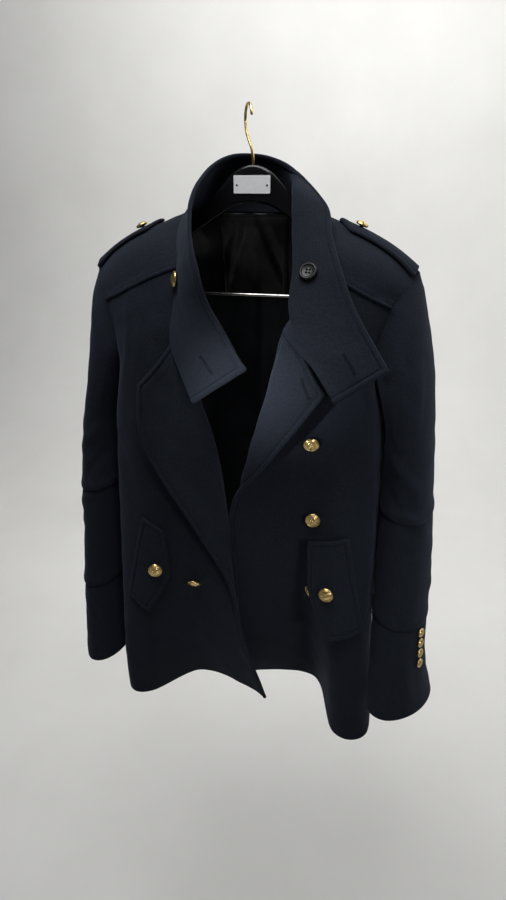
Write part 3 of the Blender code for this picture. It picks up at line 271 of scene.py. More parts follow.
CREASES_BACK = (
    (0.150, -0.300, 0.120, -0.560, 0.034, 0.0050, 0.014),
    (-0.146, -0.290, -0.112, -0.600, 0.036, 0.0052, -0.012),
    (0.176, -0.420, 0.140, -0.560, 0.022, -0.0040, 0.006),
    (-0.178, -0.430, -0.146, -0.540, 0.024, -0.0036, -0.006),
    (0.070, -0.420, 0.084, -0.905, 0.046, -0.0060, 0.012),
    (-0.060, -0.460, -0.082, -0.905, 0.044, -0.0056, -0.010),
    (0.140, -0.620, 0.150, -0.905, 0.036, 0.0056, -0.008),
    (-0.136, -0.640, -0.146, -0.905, 0.034, 0.0050, 0.010),
    (0.030, -0.240, 0.092, -0.275, 0.022, 0.0026, 0.004),
    (-0.020, -0.236, -0.096, -0.268, 0.024, 0.0024, -0.004),
)
# Creases of the sleeves: turn in degrees (0 outermost, 90 front) and level of both
# ends, half width, height, bow
CREASES_SLEEVE_LEFT = (
    (150, -0.440, 60, -0.500, 0.016, 0.0040, 0.006),
    (165, -0.475, 85, -0.545, 0.014, -0.0032, 0.005),
    (130, -0.520, 30, -0.560, 0.013, 0.0034, 0.008),
    (110, -0.580, 20, -0.600, 0.012, -0.0026, 0.006),
    (60, -0.300, 84, -0.420, 0.020, 0.0030, 0.004),
    (100, -0.320, 118, -0.430, 0.016, -0.0030, 0.003),
    (30, -0.640, -40, -0.690, 0.016, 0.0030, 0.006),
    (200, -0.460, 290, -0.520, 0.018, 0.0038, -0.006),
    (215, -0.520, 300, -0.570, 0.016, -0.0034, -0.006),
    (190, -0.600, 270, -0.640, 0.018, 0.0032, -0.004),
    (75, -0.740, 68, -0.835, 0.018, 0.0026, 0.003),
)
CREASES_SLEEVE_RIGHT = (
    (140, -0.430, 50, -0.480, 0.016, 0.0036, 0.006),
    (160, -0.470, 76, -0.520, 0.014, -0.0030, 0.005),
    (120, -0.540, 36, -0.575, 0.013, 0.0030, 0.008),
    (100, -0.600, 10, -0.620, 0.012, -0.0024, 0.006),
    (55, -0.290, 78, -0.410, 0.020, 0.0028, 0.004),
    (92, -0.330, 112, -0.440, 0.016, -0.0028, 0.003),
    (40, -0.660, -30, -0.700, 0.016, 0.0028, 0.006),
    (205, -0.450, 285, -0.500, 0.018, 0.0036, -0.006),
    (220, -0.530, 295, -0.580, 0.016, -0.0034, -0.006),
    (195, -0.620, 275, -0.650, 0.018, 0.0030, -0.004),
)
SLEEVE_GIRTH = 0.340
# Share of the creases' height that each sleeve has
SLEEVE_SOFT = {1.0: 0.85, -1.0: 0.55}

# Sampling of the panels
FRONT_US = ((0, 1, 26), (1, 2, 14), (2, 3, 18), (3, 3.7, 12), (3.7, 4, 10), (4, 4.3, 10), (4.3, 4.7, 12),
            (4.7, 5, 24))
FRONT_VS = ((0, 2, 24), (2, 2.3, 16), (2.3, 3, 16), (3, 7.8, 116), (7.8, 8, 14))
YOKE_VS = (0, 2, 34)
YOKE_LAP, YOKE_SINK, YOKE_SINK_OVER = 0.005, 0.0013, 0.012
YOKE_LAP_FROM, YOKE_LAP_ROWS, YOKE_GAP, YOKE_EASE = 0.001, 5, 0.0002, 0.009
BACK_US = ((0, 1, 16), (1, 3, 20), (3, 5, 40), (5, 7, 20), (7, 8, 16))
BACK_VS = ((0, 1, 18), (1, 3, 36), (3, 7.8, 90), (7.8, 8, 8))
COLLAR_ALONG = ((0, 0.45, 20), (0.45, 15.55, 220), (15.55, 16, 20))
COLLAR_RISE = ((0, 1.6, 36), (1.6, 2, 20))
FACING_FROM = 3.35

# The right lapel's hollow: depth, place and half width in columns, the edge's curl,
# the rows over which they start, and the row where they end
LAPEL_HOLLOW, LAPEL_HOLLOW_AT, LAPEL_HOLLOW_WIDE, LAPEL_CURL = 0.006, 4.60, 0.40, 0.003
LAPEL_STARTS, LAPEL_ENDS, LAPEL_ENDS_OVER = 0.8, 6.0, 2.0
# How far the left lapel's top edge is drawn up, where, and over how many rows
NOTCH_FILL, NOTCH_FILL_AT, NOTCH_FILL_WIDE, NOTCH_OVER = 0.008, 4.42, 0.50, 0.6
# Where the left sleeve and side press together
TOUCH_LEVEL, TOUCH_OVER = -0.460, 0.100
SIDE_BULGE, SIDE_BULGE_OVER, SLEEVE_BULGE, SLEEVE_BULGE_OVER = 0.0026, 0.9, 0.0030, 0.05

# The stretch of columns over which a front's creases end, and how they rise along their length
CREASE_ENDS, CREASE_POWER = 0.8, 0.8
# The back: where its creases fade in, its middle seam as height, place and half width,
# the fold line of its hem, and how far a fold shows inside
BACK_CALM_FROM, BACK_CALM_OVER, BACK_CALM_SIDE = 0.03, 0.05, 0.03
BACK_MIDDLE, BACK_SEAM = 4.0, ((-0.0012, 0.0, 0.0022), (0.0006, 0.006, 0.005))
BACK_HEM, BACK_HEM_SHARE, BACK_FOLD_INSIDE = 0.022, 0.4, 0.001
# The lining: its pleat, its waves, the tuck at its top and where it ends above the hem
PLEAT_AT, PLEAT_OPEN, PLEAT_STEEP, PLEAT_DEEP = -0.010, 0.030, 0.0035, 0.0034
PLEAT_FROM, PLEAT_OVER = 0.09, 0.05
LINING_SOFT, LINING_WAVES, LINING_SLANT, LINING_CALM = 0.0012, 31, 6, 0.05
LINING_TUCK, LINING_TUCK_UP, LINING_HEM = 0.012, 0.002, 0.018
# The facing's gap at the edge and within it
FACING_GAP_EDGE, FACING_GAP, FACING_GAP_FROM, FACING_GAP_OVER = 0.0001, 0.0011, 0.004, 0.012
# Where stitches start beside a seam and beside the notch
SHORT_IN, NOTCH_STITCH_IN = 0.004, 0.003
# Sampling of the flaps and straps, and of the fronts that flaps lie on
FLAP_FALLS = ((0, 0.12, 16), (0.12, 0.5, 20), (0.5, 0.88, 20), (0.88, 1, 16))
FLAP_SHARES = ((0, 0.25, 12), (0.25, 0.7, 12), (0.7, 1, 14))
STRAP_SHARES = ((-1, -0.4, 12), (-0.4, 0.4, 10), (0.4, 1, 12))
PANEL_COLUMNS, PANEL_ROWS, PANEL_SHORT, PANEL_AHEAD, PANEL_SHIFT = 120, 241, 0.02, -0.02, 1.5
ALL_EDGES = ("top", "foot", "first", "last")
# Size and height of each panel's small unevenness
UNEVEN = {"front": (0.09, 0.0007), "yoke": (0.07, 0.0005), "back": (0.10, 0.0008),
          "collar": (0.08, 0.0008), "sleeve": (0.07, 0.0008), "flap": (0.05, 0.0005)}
TINY = 1e-9

# Buttonholes: station and rise of both ends on the collar, row and column on the lapel
COLLAR_HOLES = (((1.425, 1.05), (0.625, 1.10)), ((14.675, 1.325), (15.5, 1.10)))
LAPEL_HOLE = ((2.25, 4.68), (2.38, 4.89))
PURL_STEP, PURL_LONG, PURL_RADIUS, BAR_LONG = 0.0009, 0.0020, 0.00034, 0.0052
BAR_STEP, SLIT_HALF, SLIT_UP = 1.6 * PURL_RADIUS, 0.0004, 0.0003

# Sleeve pieces: name, share of the way down at the top and the foot, rows
SLEEVE_PARTS = (("sleeve_upper", 0.0, 0.51, 84), ("sleeve_lower", 0.51, 0.77, 44), ("cuff", 0.77, 1.0, 40))
SEAM_LAP, SEAM_LIFT, SEAM_SINK, SEAM_EASE = 0.006, 0.0011, 0.0014, 0.014


# Curves and grids

def unit(vectors):
    lengths = np.linalg.norm(vectors, axis=-1, keepdims=True)
    return vectors / np.maximum(lengths, TINY)


def tangents_of(points, before, after, pull):
    """Tangents of a smooth curve; before and after stand in for the next points."""
    count = len(points)
    tangents = np.empty_like(points)
    tangents[1:-1] = (points[2:] - points[:-2]) / 2
    if pull:
        lengths = np.linalg.norm(tangents[1:-1], axis=-1, keepdims=True)
        tangents[1:-1] *= np.maximum(pull / np.maximum(lengths, TINY), 1.0)
    if before is None:
        near = tangents[1] if count > 2 else points[1] - points[0]
        tangents[0] = 1.5 * (points[1] - points[0]) - 0.5 * near
    else:
        tangents[0] = (points[1] - before) / 2
    if after is None:
        near = tangents[-2] if count > 2 else points[-1] - points[-2]
        tangents[-1] = 1.5 * (points[-1] - points[-2]) - 0.5 * near
    else:
        tangents[-1] = (after - points[-2]) / 2
    return tangents


def spline(points, params, before=None, after=None, pull=0.0):
    """Points of the smooth curve through the given ones; a param counts points."""
    points = np.asarray(points, float)
    params = np.asarray(params, float)
    tangents = tangents_of(points, before, after, pull)
    index = np.clip(params.astype(int), 0, len(points) - 2)
    t = (params - index).reshape((-1,) + (1,) * (points.ndim - 1))
    start, end = points[index], points[index + 1]
    leave, arrive = tangents[index], tangents[index + 1]
    return (
        start * (2 * t**3 - 3 * t**2 + 1)
        + leave * (t**3 - 2 * t**2 + t)
        + end * (3 * t**2 - 2 * t**3)
        + arrive * (t**3 - t**2)
    )


def mirrored_in_y(end, inner):
    """A stand-in neighbour that makes the cloth level across a seam at end."""
    other = np.array(inner, float)
    other[..., 1] = 2 * np.asarray(end)[..., 1] - other[..., 1]
    return other


def steps(*spans):
    """Params over spans of (start, end, count), each shared end once."""
    values = [spans[0][0]]
    for start, end, count in spans:
        values += [start + (end - start) * (i + 1) / count for i in range(count)]
    return np.array(values)


def normals_of(grid):
    down = np.gradient(grid, axis=0)
    across = np.gradient(grid, axis=1)
    return unit(np.cross(across, down))


def fade(params, over):
    """1 at the start, falling softly to 0."""
    return smooth(1 - np.asarray(params) / over)


def front_grid(rows, us, vs):
    """Points of a front up to its roll line, and those of its lapel beyond it."""
    side = np.array([row[SIDE] for row in rows])
    body_us = us[us <= ROLL]
    flap_us = us[us > ROLL]
    lines = []
    for number, row in enumerate(rows):
        row = np.array(row)
        before = mirrored_in_y(row[SIDE], row[RIDGE]) if number >= UNDERARM_ROW else None
        row_us = us if number >= NOTCH_ROW else body_us
        lines.append(spline(row, row_us, before, None, ROLL_PULL))
    body_lines = np.array([line[: len(body_us)] for line in lines])
    body = spline(body_lines, vs)
    flap_lines = np.array([line[len(body_us):] for line in lines[NOTCH_ROW:]])
    flap_vs = np.maximum(vs - NOTCH_ROW, 0)
    flap = spline(flap_lines, flap_vs) if len(flap_us) else np.empty((len(vs), 0, 3))
    return sewn_side(body, side, body_us, vs), flap


def sewn_side(grid, side, us, vs):
    """The side column moved onto the armhole and the straight side seam."""
    wanted = np.where(
        (vs < UNDERARM_ROW)[:, None],
        spline(side[: UNDERARM_ROW + 1], np.minimum(vs, UNDERARM_ROW)),
        spline(side[UNDERARM_ROW:], np.maximum(vs - UNDERARM_ROW, 0)),
    )
    share = fade(us, 1.0)
    return grid + share[None, :, None] * (wanted - grid[:, 0])[:, None, :]


BACK_NECK = 3


def back_top(us):
    """Both shoulder seams and the back neckline as one line from left to right."""
    left = spline(SHOULDER, np.clip(us / BACK_NECK, 0, 1) * (len(SHOULDER) - 1))
    flip = np.array((-1.0, 1.0, 1.0))
    width = 2 * (4 - BACK_NECK)
    right = spline(SHOULDER, np.clip((8 - us) / BACK_NECK, 0, 1) * (len(SHOULDER) - 1)) * flip
    neck = neckline_back(np.clip((us - BACK_NECK) / width, 0, 1))
    line = np.where((us < BACK_NECK)[:, None], left, neck)
    return np.where((us > 8 - BACK_NECK)[:, None], right, line)


def neckline_back(share):
    """The back neckline from the left neck point to the right one."""
    points = [COLLAR_STATIONS[number][0] for number in (10, 9, 8, 7, 6)]
    return spline(points, np.asarray(share) * 4)


class Panel:
    """A front as a smooth surface that pieces can be laid on."""

    def __init__(self, rows):
        us = np.linspace(0.0, ROLL - PANEL_SHORT, PANEL_COLUMNS)
        self.grid, _ = front_grid(rows, us, np.linspace(0.0, HEM_ROW, PANEL_ROWS))
        self.normals = normals_of(self.grid) * (1.0 if rows[0][SIDE][0] > 0 else -1.0)

    def at(self, x, z):
        """Point and outward normal of the cloth that faces the viewer at x and z."""
        far = (self.grid[..., 0] - x) ** 2 + (self.grid[..., 2] - z) ** 2
        far = far + np.where(self.grid[..., 1] > PANEL_AHEAD, 1.0, 0.0)
        row, column = np.unravel_index(np.argmin(far), far.shape)
        row = min(max(row, 1), PANEL_ROWS - 2)
        column = min(max(column, 1), PANEL_COLUMNS - 2)
        point = self.grid[row, column]
        down = (self.grid[row + 1, column] - self.grid[row - 1, column]) / 2
        across = (self.grid[row, column + 1] - self.grid[row, column - 1]) / 2
        square = np.array(((across[0], down[0]), (across[2], down[2])))
        shift = np.linalg.solve(square, np.array((x - point[0], z - point[2])))
        shift = np.clip(shift, -PANEL_SHIFT, PANEL_SHIFT)
        return point + across * shift[0] + down * shift[1], self.normals[row, column]


def armhole(front_rows, side):
    """The armhole as a loop of points: shoulder, front, underarm, back."""
    flip = np.array((side, 1.0, 1.0))
    back_side = np.array([row[0] for row in BACK_HALF[: UNDERARM_ROW + 1]]) * flip
    yoke_side = [np.array(SHOULDER[0]) * flip, np.array(YOKE_MIDDLE[0]) * flip, front_rows[0][SIDE]]
    front_side = [row[SIDE] for row in front_rows[: UNDERARM_ROW + 1]]
    ahead = spline(np.array(yoke_side), np.linspace(0, 2, ARMHOLE_YOKE))
    down = spline(np.array(front_side), np.linspace(0, UNDERARM_ROW, ARMHOLE_FRONT))
    up = spline(back_side, np.linspace(UNDERARM_ROW, 0, ARMHOLE_BACK))
    loop = np.concatenate([ahead[:-1], down[:-1], up])
    run = run_along(loop)
    under = run[len(ahead) + len(down) - 2]
    half = SLEEVE_POINTS // 2 + 1
    wanted = [np.linspace(0, under, half)[:-1], np.linspace(under, run[-1], half)[:-1]]
    return at_run(np.concatenate(wanted), run, loop)


def run_along(grid, axis=0):
    """Length along each row or column of a grid, or along a line, from its start."""
    spans = np.linalg.norm(np.diff(grid, axis=axis), axis=-1)
    start = np.zeros_like(np.take(spans, [0], axis=axis))
    return np.concatenate([start, np.cumsum(spans, axis=axis)], axis=axis)


def from_edges(grid, *edges):
    """Length along a grid to the nearest of these edges, at each point."""
    runs = []
    for edge in edges:
        axis = 0 if edge in ("top", "foot") else 1
        run = run_along(grid, axis)
        if edge in ("foot", "last"):
            run = np.take(run, [-1], axis=axis) - run
        runs.append(run)
    return np.minimum.reduce(runs)


def at_run(wanted, run, line):
    """Points of a line at the wanted lengths along it."""
    return np.stack([np.interp(wanted, run, line[:, k]) for k in range(line.shape[1])], axis=-1)


def lifted(grid, turn, height):
    """A grid moved along its normals."""
    return grid + turn * np.asarray(height)[..., None]


def nearest(values, wanted):
    return int(np.argmin(abs(values - wanted)))


def wrapped(grid):
    """A round grid with its first column again at the end."""
    return np.concatenate([grid, grid[:, :1]], axis=1)


def both_halves(half):
    """Points of a half from the middle out, with their mirror images before them."""
    return [(-x, z) for x, z in half[:0:-1]] + list(half)


def hump(distance, width):
    """1 in the middle of a soft ridge and 0 beyond its half width."""
    share = np.clip(1 - (distance / width) ** 2, 0, None)
    return share * share


def stitched(distance):
    """Height of cloth at a distance from a topstitched edge."""
    groove = STITCH_DEEP * hump(distance - STITCH_IN, STITCH_WIDE)
    return SWELL * hump(distance - SWELL_AT, SWELL_WIDE) - groove


def smooth(values):
    share = np.clip(values, 0, 1)
    return share * share * (3 - 2 * share)


def creased(first, second, table):
    """Height from a table of creases at points given by two coordinates."""
    height = np.zeros(np.shape(first))
    for x0, z0, x1, z1, width, rise, bow in table:
        run = np.array((x1 - x0, z1 - z0))
        length = np.linalg.norm(run)
        along = ((first - x0) * run[0] + (second - z0) * run[1]) / length**2
        aside = ((first - x0) * run[1] - (second - z0) * run[0]) / length
        inside = np.clip(along, 0, 1)
        aside = aside - bow * 4 * inside * (1 - inside)
        height += rise * hump(aside, width) * np.sin(np.pi * inside) ** CREASE_POWER
    return height


def uneven(points, size, height):
    """Small unevenness that breaks up a flat run of cloth."""
    x, y, z = np.moveaxis(points, -1, 0) * (2 * np.pi / size)
    first = np.sin(1.3 * x + 0.7 * z + 1.7) * np.sin(0.9 * z - 0.5 * y + 0.4)
    second = np.sin(2.1 * z + 1.1 * x + 0.9) * np.sin(1.7 * x - 0.8 * y + 2.2)
    return height * (0.65 * first + 0.35 * second)


# Meshes

def mesh_object(name, points, faces, slot, soft=True):
    """An object of the given points and faces in the part's frame."""
    points = np.asarray(points, float) + MIDDLE
    mesh = bpy.data.meshes.new(name)
    mesh.from_pydata(points.tolist(), [], [list(map(int, face)) for face in faces])
    mesh.materials.append(FINISH[slot])
    mesh.polygons.foreach_set("use_smooth", [soft] * len(mesh.polygons))
    mesh.validate()
    mesh.update()
    made = bpy.data.objects.new(name, mesh)
    bpy.context.scene.collection.objects.link(made)
    return made


def belongs(made, slot, *nodes):
    """The piece rides on the coat's one body and stands for these nodes."""
    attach(made, "root")
    if nodes:
        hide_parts(*nodes)


def ring_about(centre, side, up, radius, around):
    """Points round a centre, over two ways that are square to each other."""
    angles = np.linspace(0, 2 * math.pi, around, endpoint=False)
    return centre + radius * (np.outer(np.cos(angles), side) + np.outer(np.sin(angles), up))


def ring_faces(count, around, base=0):
    """Faces that join rings of points, numbered on from base."""
    faces = []
    for low in range(base, base + (count - 1) * around, around):
        for step in range(around):
            after = (step + 1) % around
            faces.append((low + step, low + after, low + around + after, low + around + step))
    return faces


def capped_faces(count, around, base=0):
    """Faces that join rings of points, with a flat cap at each end."""
    top = base + (count - 1) * around
    caps = [tuple(range(base, base + around))[::-1], tuple(range(top, top + around))]
    return ring_faces(count, around, base) + caps


def shell(name, outer, inner, slot, has=None, closed=False):
    """A closed thin wall between two grids of points, with round rims."""
    rows, columns = outer.shape[:2]
    total = rows * columns
    index = np.arange(total).reshape(rows, columns)
    ahead = np.roll(index, -1, axis=1)
    last = columns if closed else columns - 1
    quads = np.stack([index[:-1], ahead[:-1], ahead[1:], index[1:]], axis=-1)[:, :last]
    quads = quads[has] if has is not None else quads.reshape(-1, 4)
    outside = outer.reshape(-1, 3)
    inside = inner.reshape(-1, 3)
    middle = (outside + inside) / 2
    turn = np.cross(middle[quads[:, 2]] - middle[quads[:, 0]], middle[quads[:, 3]] - middle[quads[:, 1]])
    thick = outside - inside
    if np.sum(turn * thick[quads[:, 0]]) < 0:
        quads = quads[:, ::-1]
        turn = -turn
    edges = np.concatenate([quads[:, [k, (k + 1) % 4]] for k in range(4)])
    code = np.sort(edges, axis=1) @ np.array((total, 1))
    _, first, uses = np.unique(code, return_index=True, return_counts=True)
    first = first[uses == 1]
    rim = edges[first]
    away = np.zeros((total, 3))
    out = unit(np.cross(middle[rim[:, 1]] - middle[rim[:, 0]], turn[first % len(quads)]))
    np.add.at(away, rim[:, 0], out)
    np.add.at(away, rim[:, 1], out)
    on_rim = np.unique(rim)
    away = unit(away[on_rim]) * np.linalg.norm(thick[on_rim], axis=1, keepdims=True) / 2
    rings = [middle[on_rim] + thick[on_rim] / 2 * math.sin(a) + away * math.cos(a) for a in RIM_ANGLES]
    place = np.zeros(total, int)
    place[on_rim] = np.arange(len(on_rim))
    levels = [rim] + [2 * total + k * len(on_rim) + place[rim] for k in range(len(rings))] + [rim + total]
    faces = [quads, quads[:, ::-1] + total]
    for upper, lower in zip(levels[:-1], levels[1:]):
        faces.append(np.stack([upper[:, 1], upper[:, 0], lower[:, 0], lower[:, 1]], axis=1))
    faces = np.concatenate(faces)
    points = np.concatenate([outside, inside] + rings)
    used, renumbered = np.unique(faces, return_inverse=True)
    return mesh_object(name, points[used], renumbered.reshape(-1, 4), slot)


RIM_ANGLES = (math.radians(45), 0.0, math.radians(-45))


def cloth(node, outer, inner, slot="wool", has=None, closed=False,
          ending="cloth"):
    """A cloth piece between two faces that stands for a node."""
    made = shell(f"{node}_{ending}", outer, inner, slot, has, closed)
    belongs(made, slot, node)


# Sewing

STITCHES = []


def line_inside(grid, edge, inset=STITCH_IN):
    """The line on a grid at a distance from one of its edges."""
    faced = {"top": grid.transpose(1, 0, 2), "foot": grid[::-1].transpose(1, 0, 2),
             "first": grid, "last": grid[:, ::-1]}[edge]
    return np.array([at_run(inset, run, row) for run, row in zip(run_along(faced, 1), faced)])


def sew(grid, edges, ends=(STITCH_IN, STITCH_IN)):
    """Keeps a line of topstitching beside each edge, drawn in at its two ends."""
    for edge in edges:
        line = line_inside(grid, edge)
        run = run_along(line)
        wanted = np.arange(ends[0], run[-1] - ends[1], STITCH_STEP)
        stitch_along(at_run(wanted, run, line))


def stitch_along(line):
    for place, way in zip(line, unit(np.gradient(line, axis=0))):
        STITCHES.append((place, way, STITCH_LONG, STITCH_RADIUS))


def face_line(grid, turn, first, second, ends, count=24):
    """Points and normals on a face along the line between two places in its rows and columns."""
    rows = np.interp(np.linspace(ends[0][0], ends[1][0], count), first, np.arange(len(first)))
    columns = np.interp(np.linspace(ends[0][1], ends[1][1], count), second, np.arange(len(second)))
    low_row, low_column = rows.astype(int), columns.astype(int)
    down, across = (rows - low_row)[:, None], (columns - low_column)[:, None]
    points, turns = [
        (values[low_row, low_column] * (1 - down) + values[low_row + 1, low_column] * down) * (1 - across)
        + (values[low_row, low_column + 1] * (1 - down) + values[low_row + 1, low_column + 1] * down) * across
        for values in (grid, turn)
    ]
    return points, unit(turns)


def buttonhole(name, points, turns):
    """A worked buttonhole: a dark slit, purl stitches on both sides and a bar at each end."""
    way = unit(points[-1] - points[0])
    aside = unit(np.cross(turns, way))
    run = np.linalg.norm(points - points[0], axis=1)
    for reach in np.arange(0, run[-1], PURL_STEP):
        place, side = [at_run(reach, run, line) for line in (points, aside)]
        for half in (-1, 1):
            STITCHES.append((place + half * side * PURL_LONG / 2, side, PURL_LONG, PURL_RADIUS))
    for end in (0, -1):
        for shift in (-BAR_STEP, 0, BAR_STEP):
            STITCHES.append((points[end] + way * shift, aside[end], BAR_LONG, PURL_RADIUS))
    edges = np.stack([points - aside * SLIT_HALF, points + aside * SLIT_HALF], axis=1)
    up = turns[:, None, :] * SLIT_UP
    belongs(shell(name, edges + up, edges - up, "thread"), "wool")


def topstitching():
    """Every stitch as a short thread that dips in at both ends, in one mesh."""
    points, faces = [], []
    count = len(STITCH_RINGS)
    for number, (place, way, long, radius) in enumerate(STITCHES):
        guide = (0.0, 1.0, 0.0) if abs(way[1]) < 0.8 else (1.0, 0.0, 0.0)
        side = unit(np.cross(way, guide))
        up = np.cross(side, way)
        for share, swell in STITCH_RINGS:
            points.append(ring_about(place + way * share * long, side, up, radius * swell, STITCH_SIDES))
        faces += capped_faces(count, STITCH_SIDES, number * count * STITCH_SIDES)
    belongs(mesh_object("topstitching", np.concatenate(points), faces, "thread"), "wool")


# Body panels

def front_net(rows):
    """Points and normals of a front with its creases, and which cells it has."""
    us, vs = steps(*FRONT_US), steps(*FRONT_VS)
    body, flap = front_grid(rows, us, vs)
    side = 1.0 if rows[0][SIDE][0] > 0 else -1.0
    grid = np.concatenate([body, flap], axis=1)
    turn = front_normals(grid, body.shape[1], vs, side)
    table = CREASES_LEFT if side > 0 else CREASES_RIGHT
    calm = smooth((ROLL - us) / CREASE_ENDS)[None, :]
    height = creased(grid[..., 0], grid[..., 2], table) * calm + uneven(grid, *UNEVEN["front"])
    under_yoke = smooth(1 - run_along(grid) / YOKE_SINK_OVER) * (us <= ROLL)[None, :]
    height = height - YOKE_SINK * under_yoke + lapel_form(us, vs, side)
    height = height + side_bulge(grid, us, side)
    grid = filled_notch(lifted(grid, turn, height), us, vs, side)
    turn = front_normals(grid, body.shape[1], vs, side)
    has = (vs[:-1, None] >= NOTCH_ROW - TINY) | (us[None, :-1] < ROLL - TINY)
    return us, vs, grid, turn, has


def lapel_form(us, vs, side):
    """Height that hollows the right lapel's face and curls its edge up."""
    if side > 0:
        return np.zeros((len(vs), len(us)))
    across = LAPEL_HOLLOW * hump(us - LAPEL_HOLLOW_AT, LAPEL_HOLLOW_WIDE)
    across = across - LAPEL_CURL * smooth((us - LAPEL_HOLLOW_AT) / (EDGE - LAPEL_HOLLOW_AT))
    starts = smooth((vs - NOTCH_ROW + LAPEL_STARTS / 2) / LAPEL_STARTS)
    down = starts * smooth((LAPEL_ENDS - vs) / LAPEL_ENDS_OVER)
    return down[:, None] * across[None, :]


def side_bulge(grid, us, side):
    """The left side swells where it meets the sleeve."""
    near = hump(us, SIDE_BULGE_OVER) if side > 0 else 0 * us
    return SIDE_BULGE * near[None, :] * hump(grid[..., 2] - TOUCH_LEVEL, TOUCH_OVER)


def filled_notch(grid, us, vs, side):
    """The left lapel's top edge drawn up under the collar, to where the slit starts."""
    if side < 0:
        return grid
    way = unit(grid[nearest(vs, NOTCH_ROW)] - grid[nearest(vs, NOTCH_ROW + NOTCH_OVER / 2)])
    share = hump(us - NOTCH_FILL_AT, NOTCH_FILL_WIDE) * (us > ROLL)
    fall = fade(np.maximum(vs - NOTCH_ROW, 0), NOTCH_OVER) * (vs >= NOTCH_ROW - TINY)
    return grid + NOTCH_FILL * fall[:, None, None] * (share[:, None] * way)[None]


def front_normals(grid, split, vs, side):
    """Outward normals; above the notch the lapel's points don't count."""
    top = nearest(vs, NOTCH_ROW)
    normals = normals_of(grid) * side
    normals[top:, split:] = (normals_of(grid[top:]) * side)[:, split:]
    normals[:top, :split] = (normals_of(grid[:, :split]) * side)[:top]
    return normals


def front_and_facing(name, rows):
    """A front, its facing behind the edge and the lapel, and their topstitching."""
    us, vs, grid, turn, has = front_net(rows)
    top, first = nearest(vs, NOTCH_ROW), nearest(us, FACING_FROM)
    edge = np.ones(grid.shape[:2])
    edge[top:] = run_along(grid[top:])
    edge[:, us <= ROLL] = 1.0
    edge = np.minimum(edge, from_edges(grid, "last"))
    welt = stitched(edge)
    welt[:top] = 0.0
    outer = lifted(grid, turn, WOOL / 2 + welt)
    cloth(f"front_{name}", outer, lifted(grid, turn, -WOOL / 2), has=has)
    sew(outer[top:], ("last",))

    part = (slice(top, None), slice(first, None))
    gap = FACING_GAP_EDGE + FACING_GAP * smooth((edge[part] - FACING_GAP_FROM) / FACING_GAP_OVER)
    near = WOOL / 2 + gap
    upper = lifted(grid[part], turn[part], -near)
    lower = lifted(grid[part], turn[part], -(near + FACING + welt[part]))
    cloth(f"facing_{name}", upper, lower, has=has[part])
    sew(lower, ("last",))
    sew(lower[:, nearest(us, ROLL) - first:], ("top",), (NOTCH_STITCH_IN, STITCH_IN))
    if name == "left":
        points, turns = face_line(lower, -turn[part], vs[top:], us[first:], LAPEL_HOLE)
        buttonhole("lapel_buttonhole", points, turns)
    return us, grid


def yoke(name, side, rows, front):
    """A yoke whose foot laps over the front's top edge."""
    us, front_points = front
    flip = np.array((side, 1.0, 1.0))
    across = us[us <= ROLL + TINY]
    nets = (np.array(SHOULDER) * flip, np.array(YOKE_MIDDLE) * flip, rows[0])
    lines = np.array([spline(net, across) for net in nets])
    grid = spline(lines, steps(YOKE_VS), mirrored_in_y(lines[0], lines[1]), spline(rows[1], across))
    columns = front_points[:, : len(across)].transpose(1, 0, 2)
    runs = run_along(columns, 1)
    lap = [[at_run(reach, run, column) for run, column in zip(runs, columns)]
           for reach in np.linspace(YOKE_LAP_FROM, YOKE_LAP, YOKE_LAP_ROWS)]
    grid = np.concatenate([grid, np.array(lap)])
    turn = normals_of(grid) * side
    foot = from_edges(grid, "foot")
    sunk = np.where(np.arange(len(grid)) < len(grid) - len(lap), YOKE_SINK, 0.0)
    lift = (WOOL + YOKE_GAP - sunk[:, None]) * smooth((YOKE_LAP + YOKE_EASE - foot) / YOKE_EASE)
    lift = lift + uneven(grid, *UNEVEN["yoke"])
    outer = lifted(grid, turn, WOOL / 2 + lift + stitched(foot))
    cloth(f"yoke_{name}", outer, lifted(grid, turn, lift - WOOL / 2))
    sew(outer, ("foot",), (SHORT_IN, SHORT_IN))
    return grid, turn


def back_net():
    """Points and outward normals of the back before its creases."""
    us, vs = steps(*BACK_US), steps(*BACK_VS)
    half = np.array(BACK_HALF)
    flip = np.array((-1.0, 1.0, 1.0))
    net = np.concatenate([half, half[:, 3::-1] * flip], axis=1)
    lines = [back_top(us)]
    for number, row in enumerate(net[1:], 1):
        sewn = number >= UNDERARM_ROW
        before = mirrored_in_y(row[0], row[1]) if sewn else None
        after = mirrored_in_y(row[-1], row[-2]) if sewn else None
        lines.append(spline(row, us, before, after))
    lines = np.array(lines)
    grid = spline(lines, vs, mirrored_in_y(lines[0], lines[1]), None)
    grid = sewn_side(grid, net[:, 0], us, vs)
    grid = sewn_side(grid[:, ::-1], net[:, -1], us, vs)[:, ::-1]
    return us, grid, -normals_of(grid)


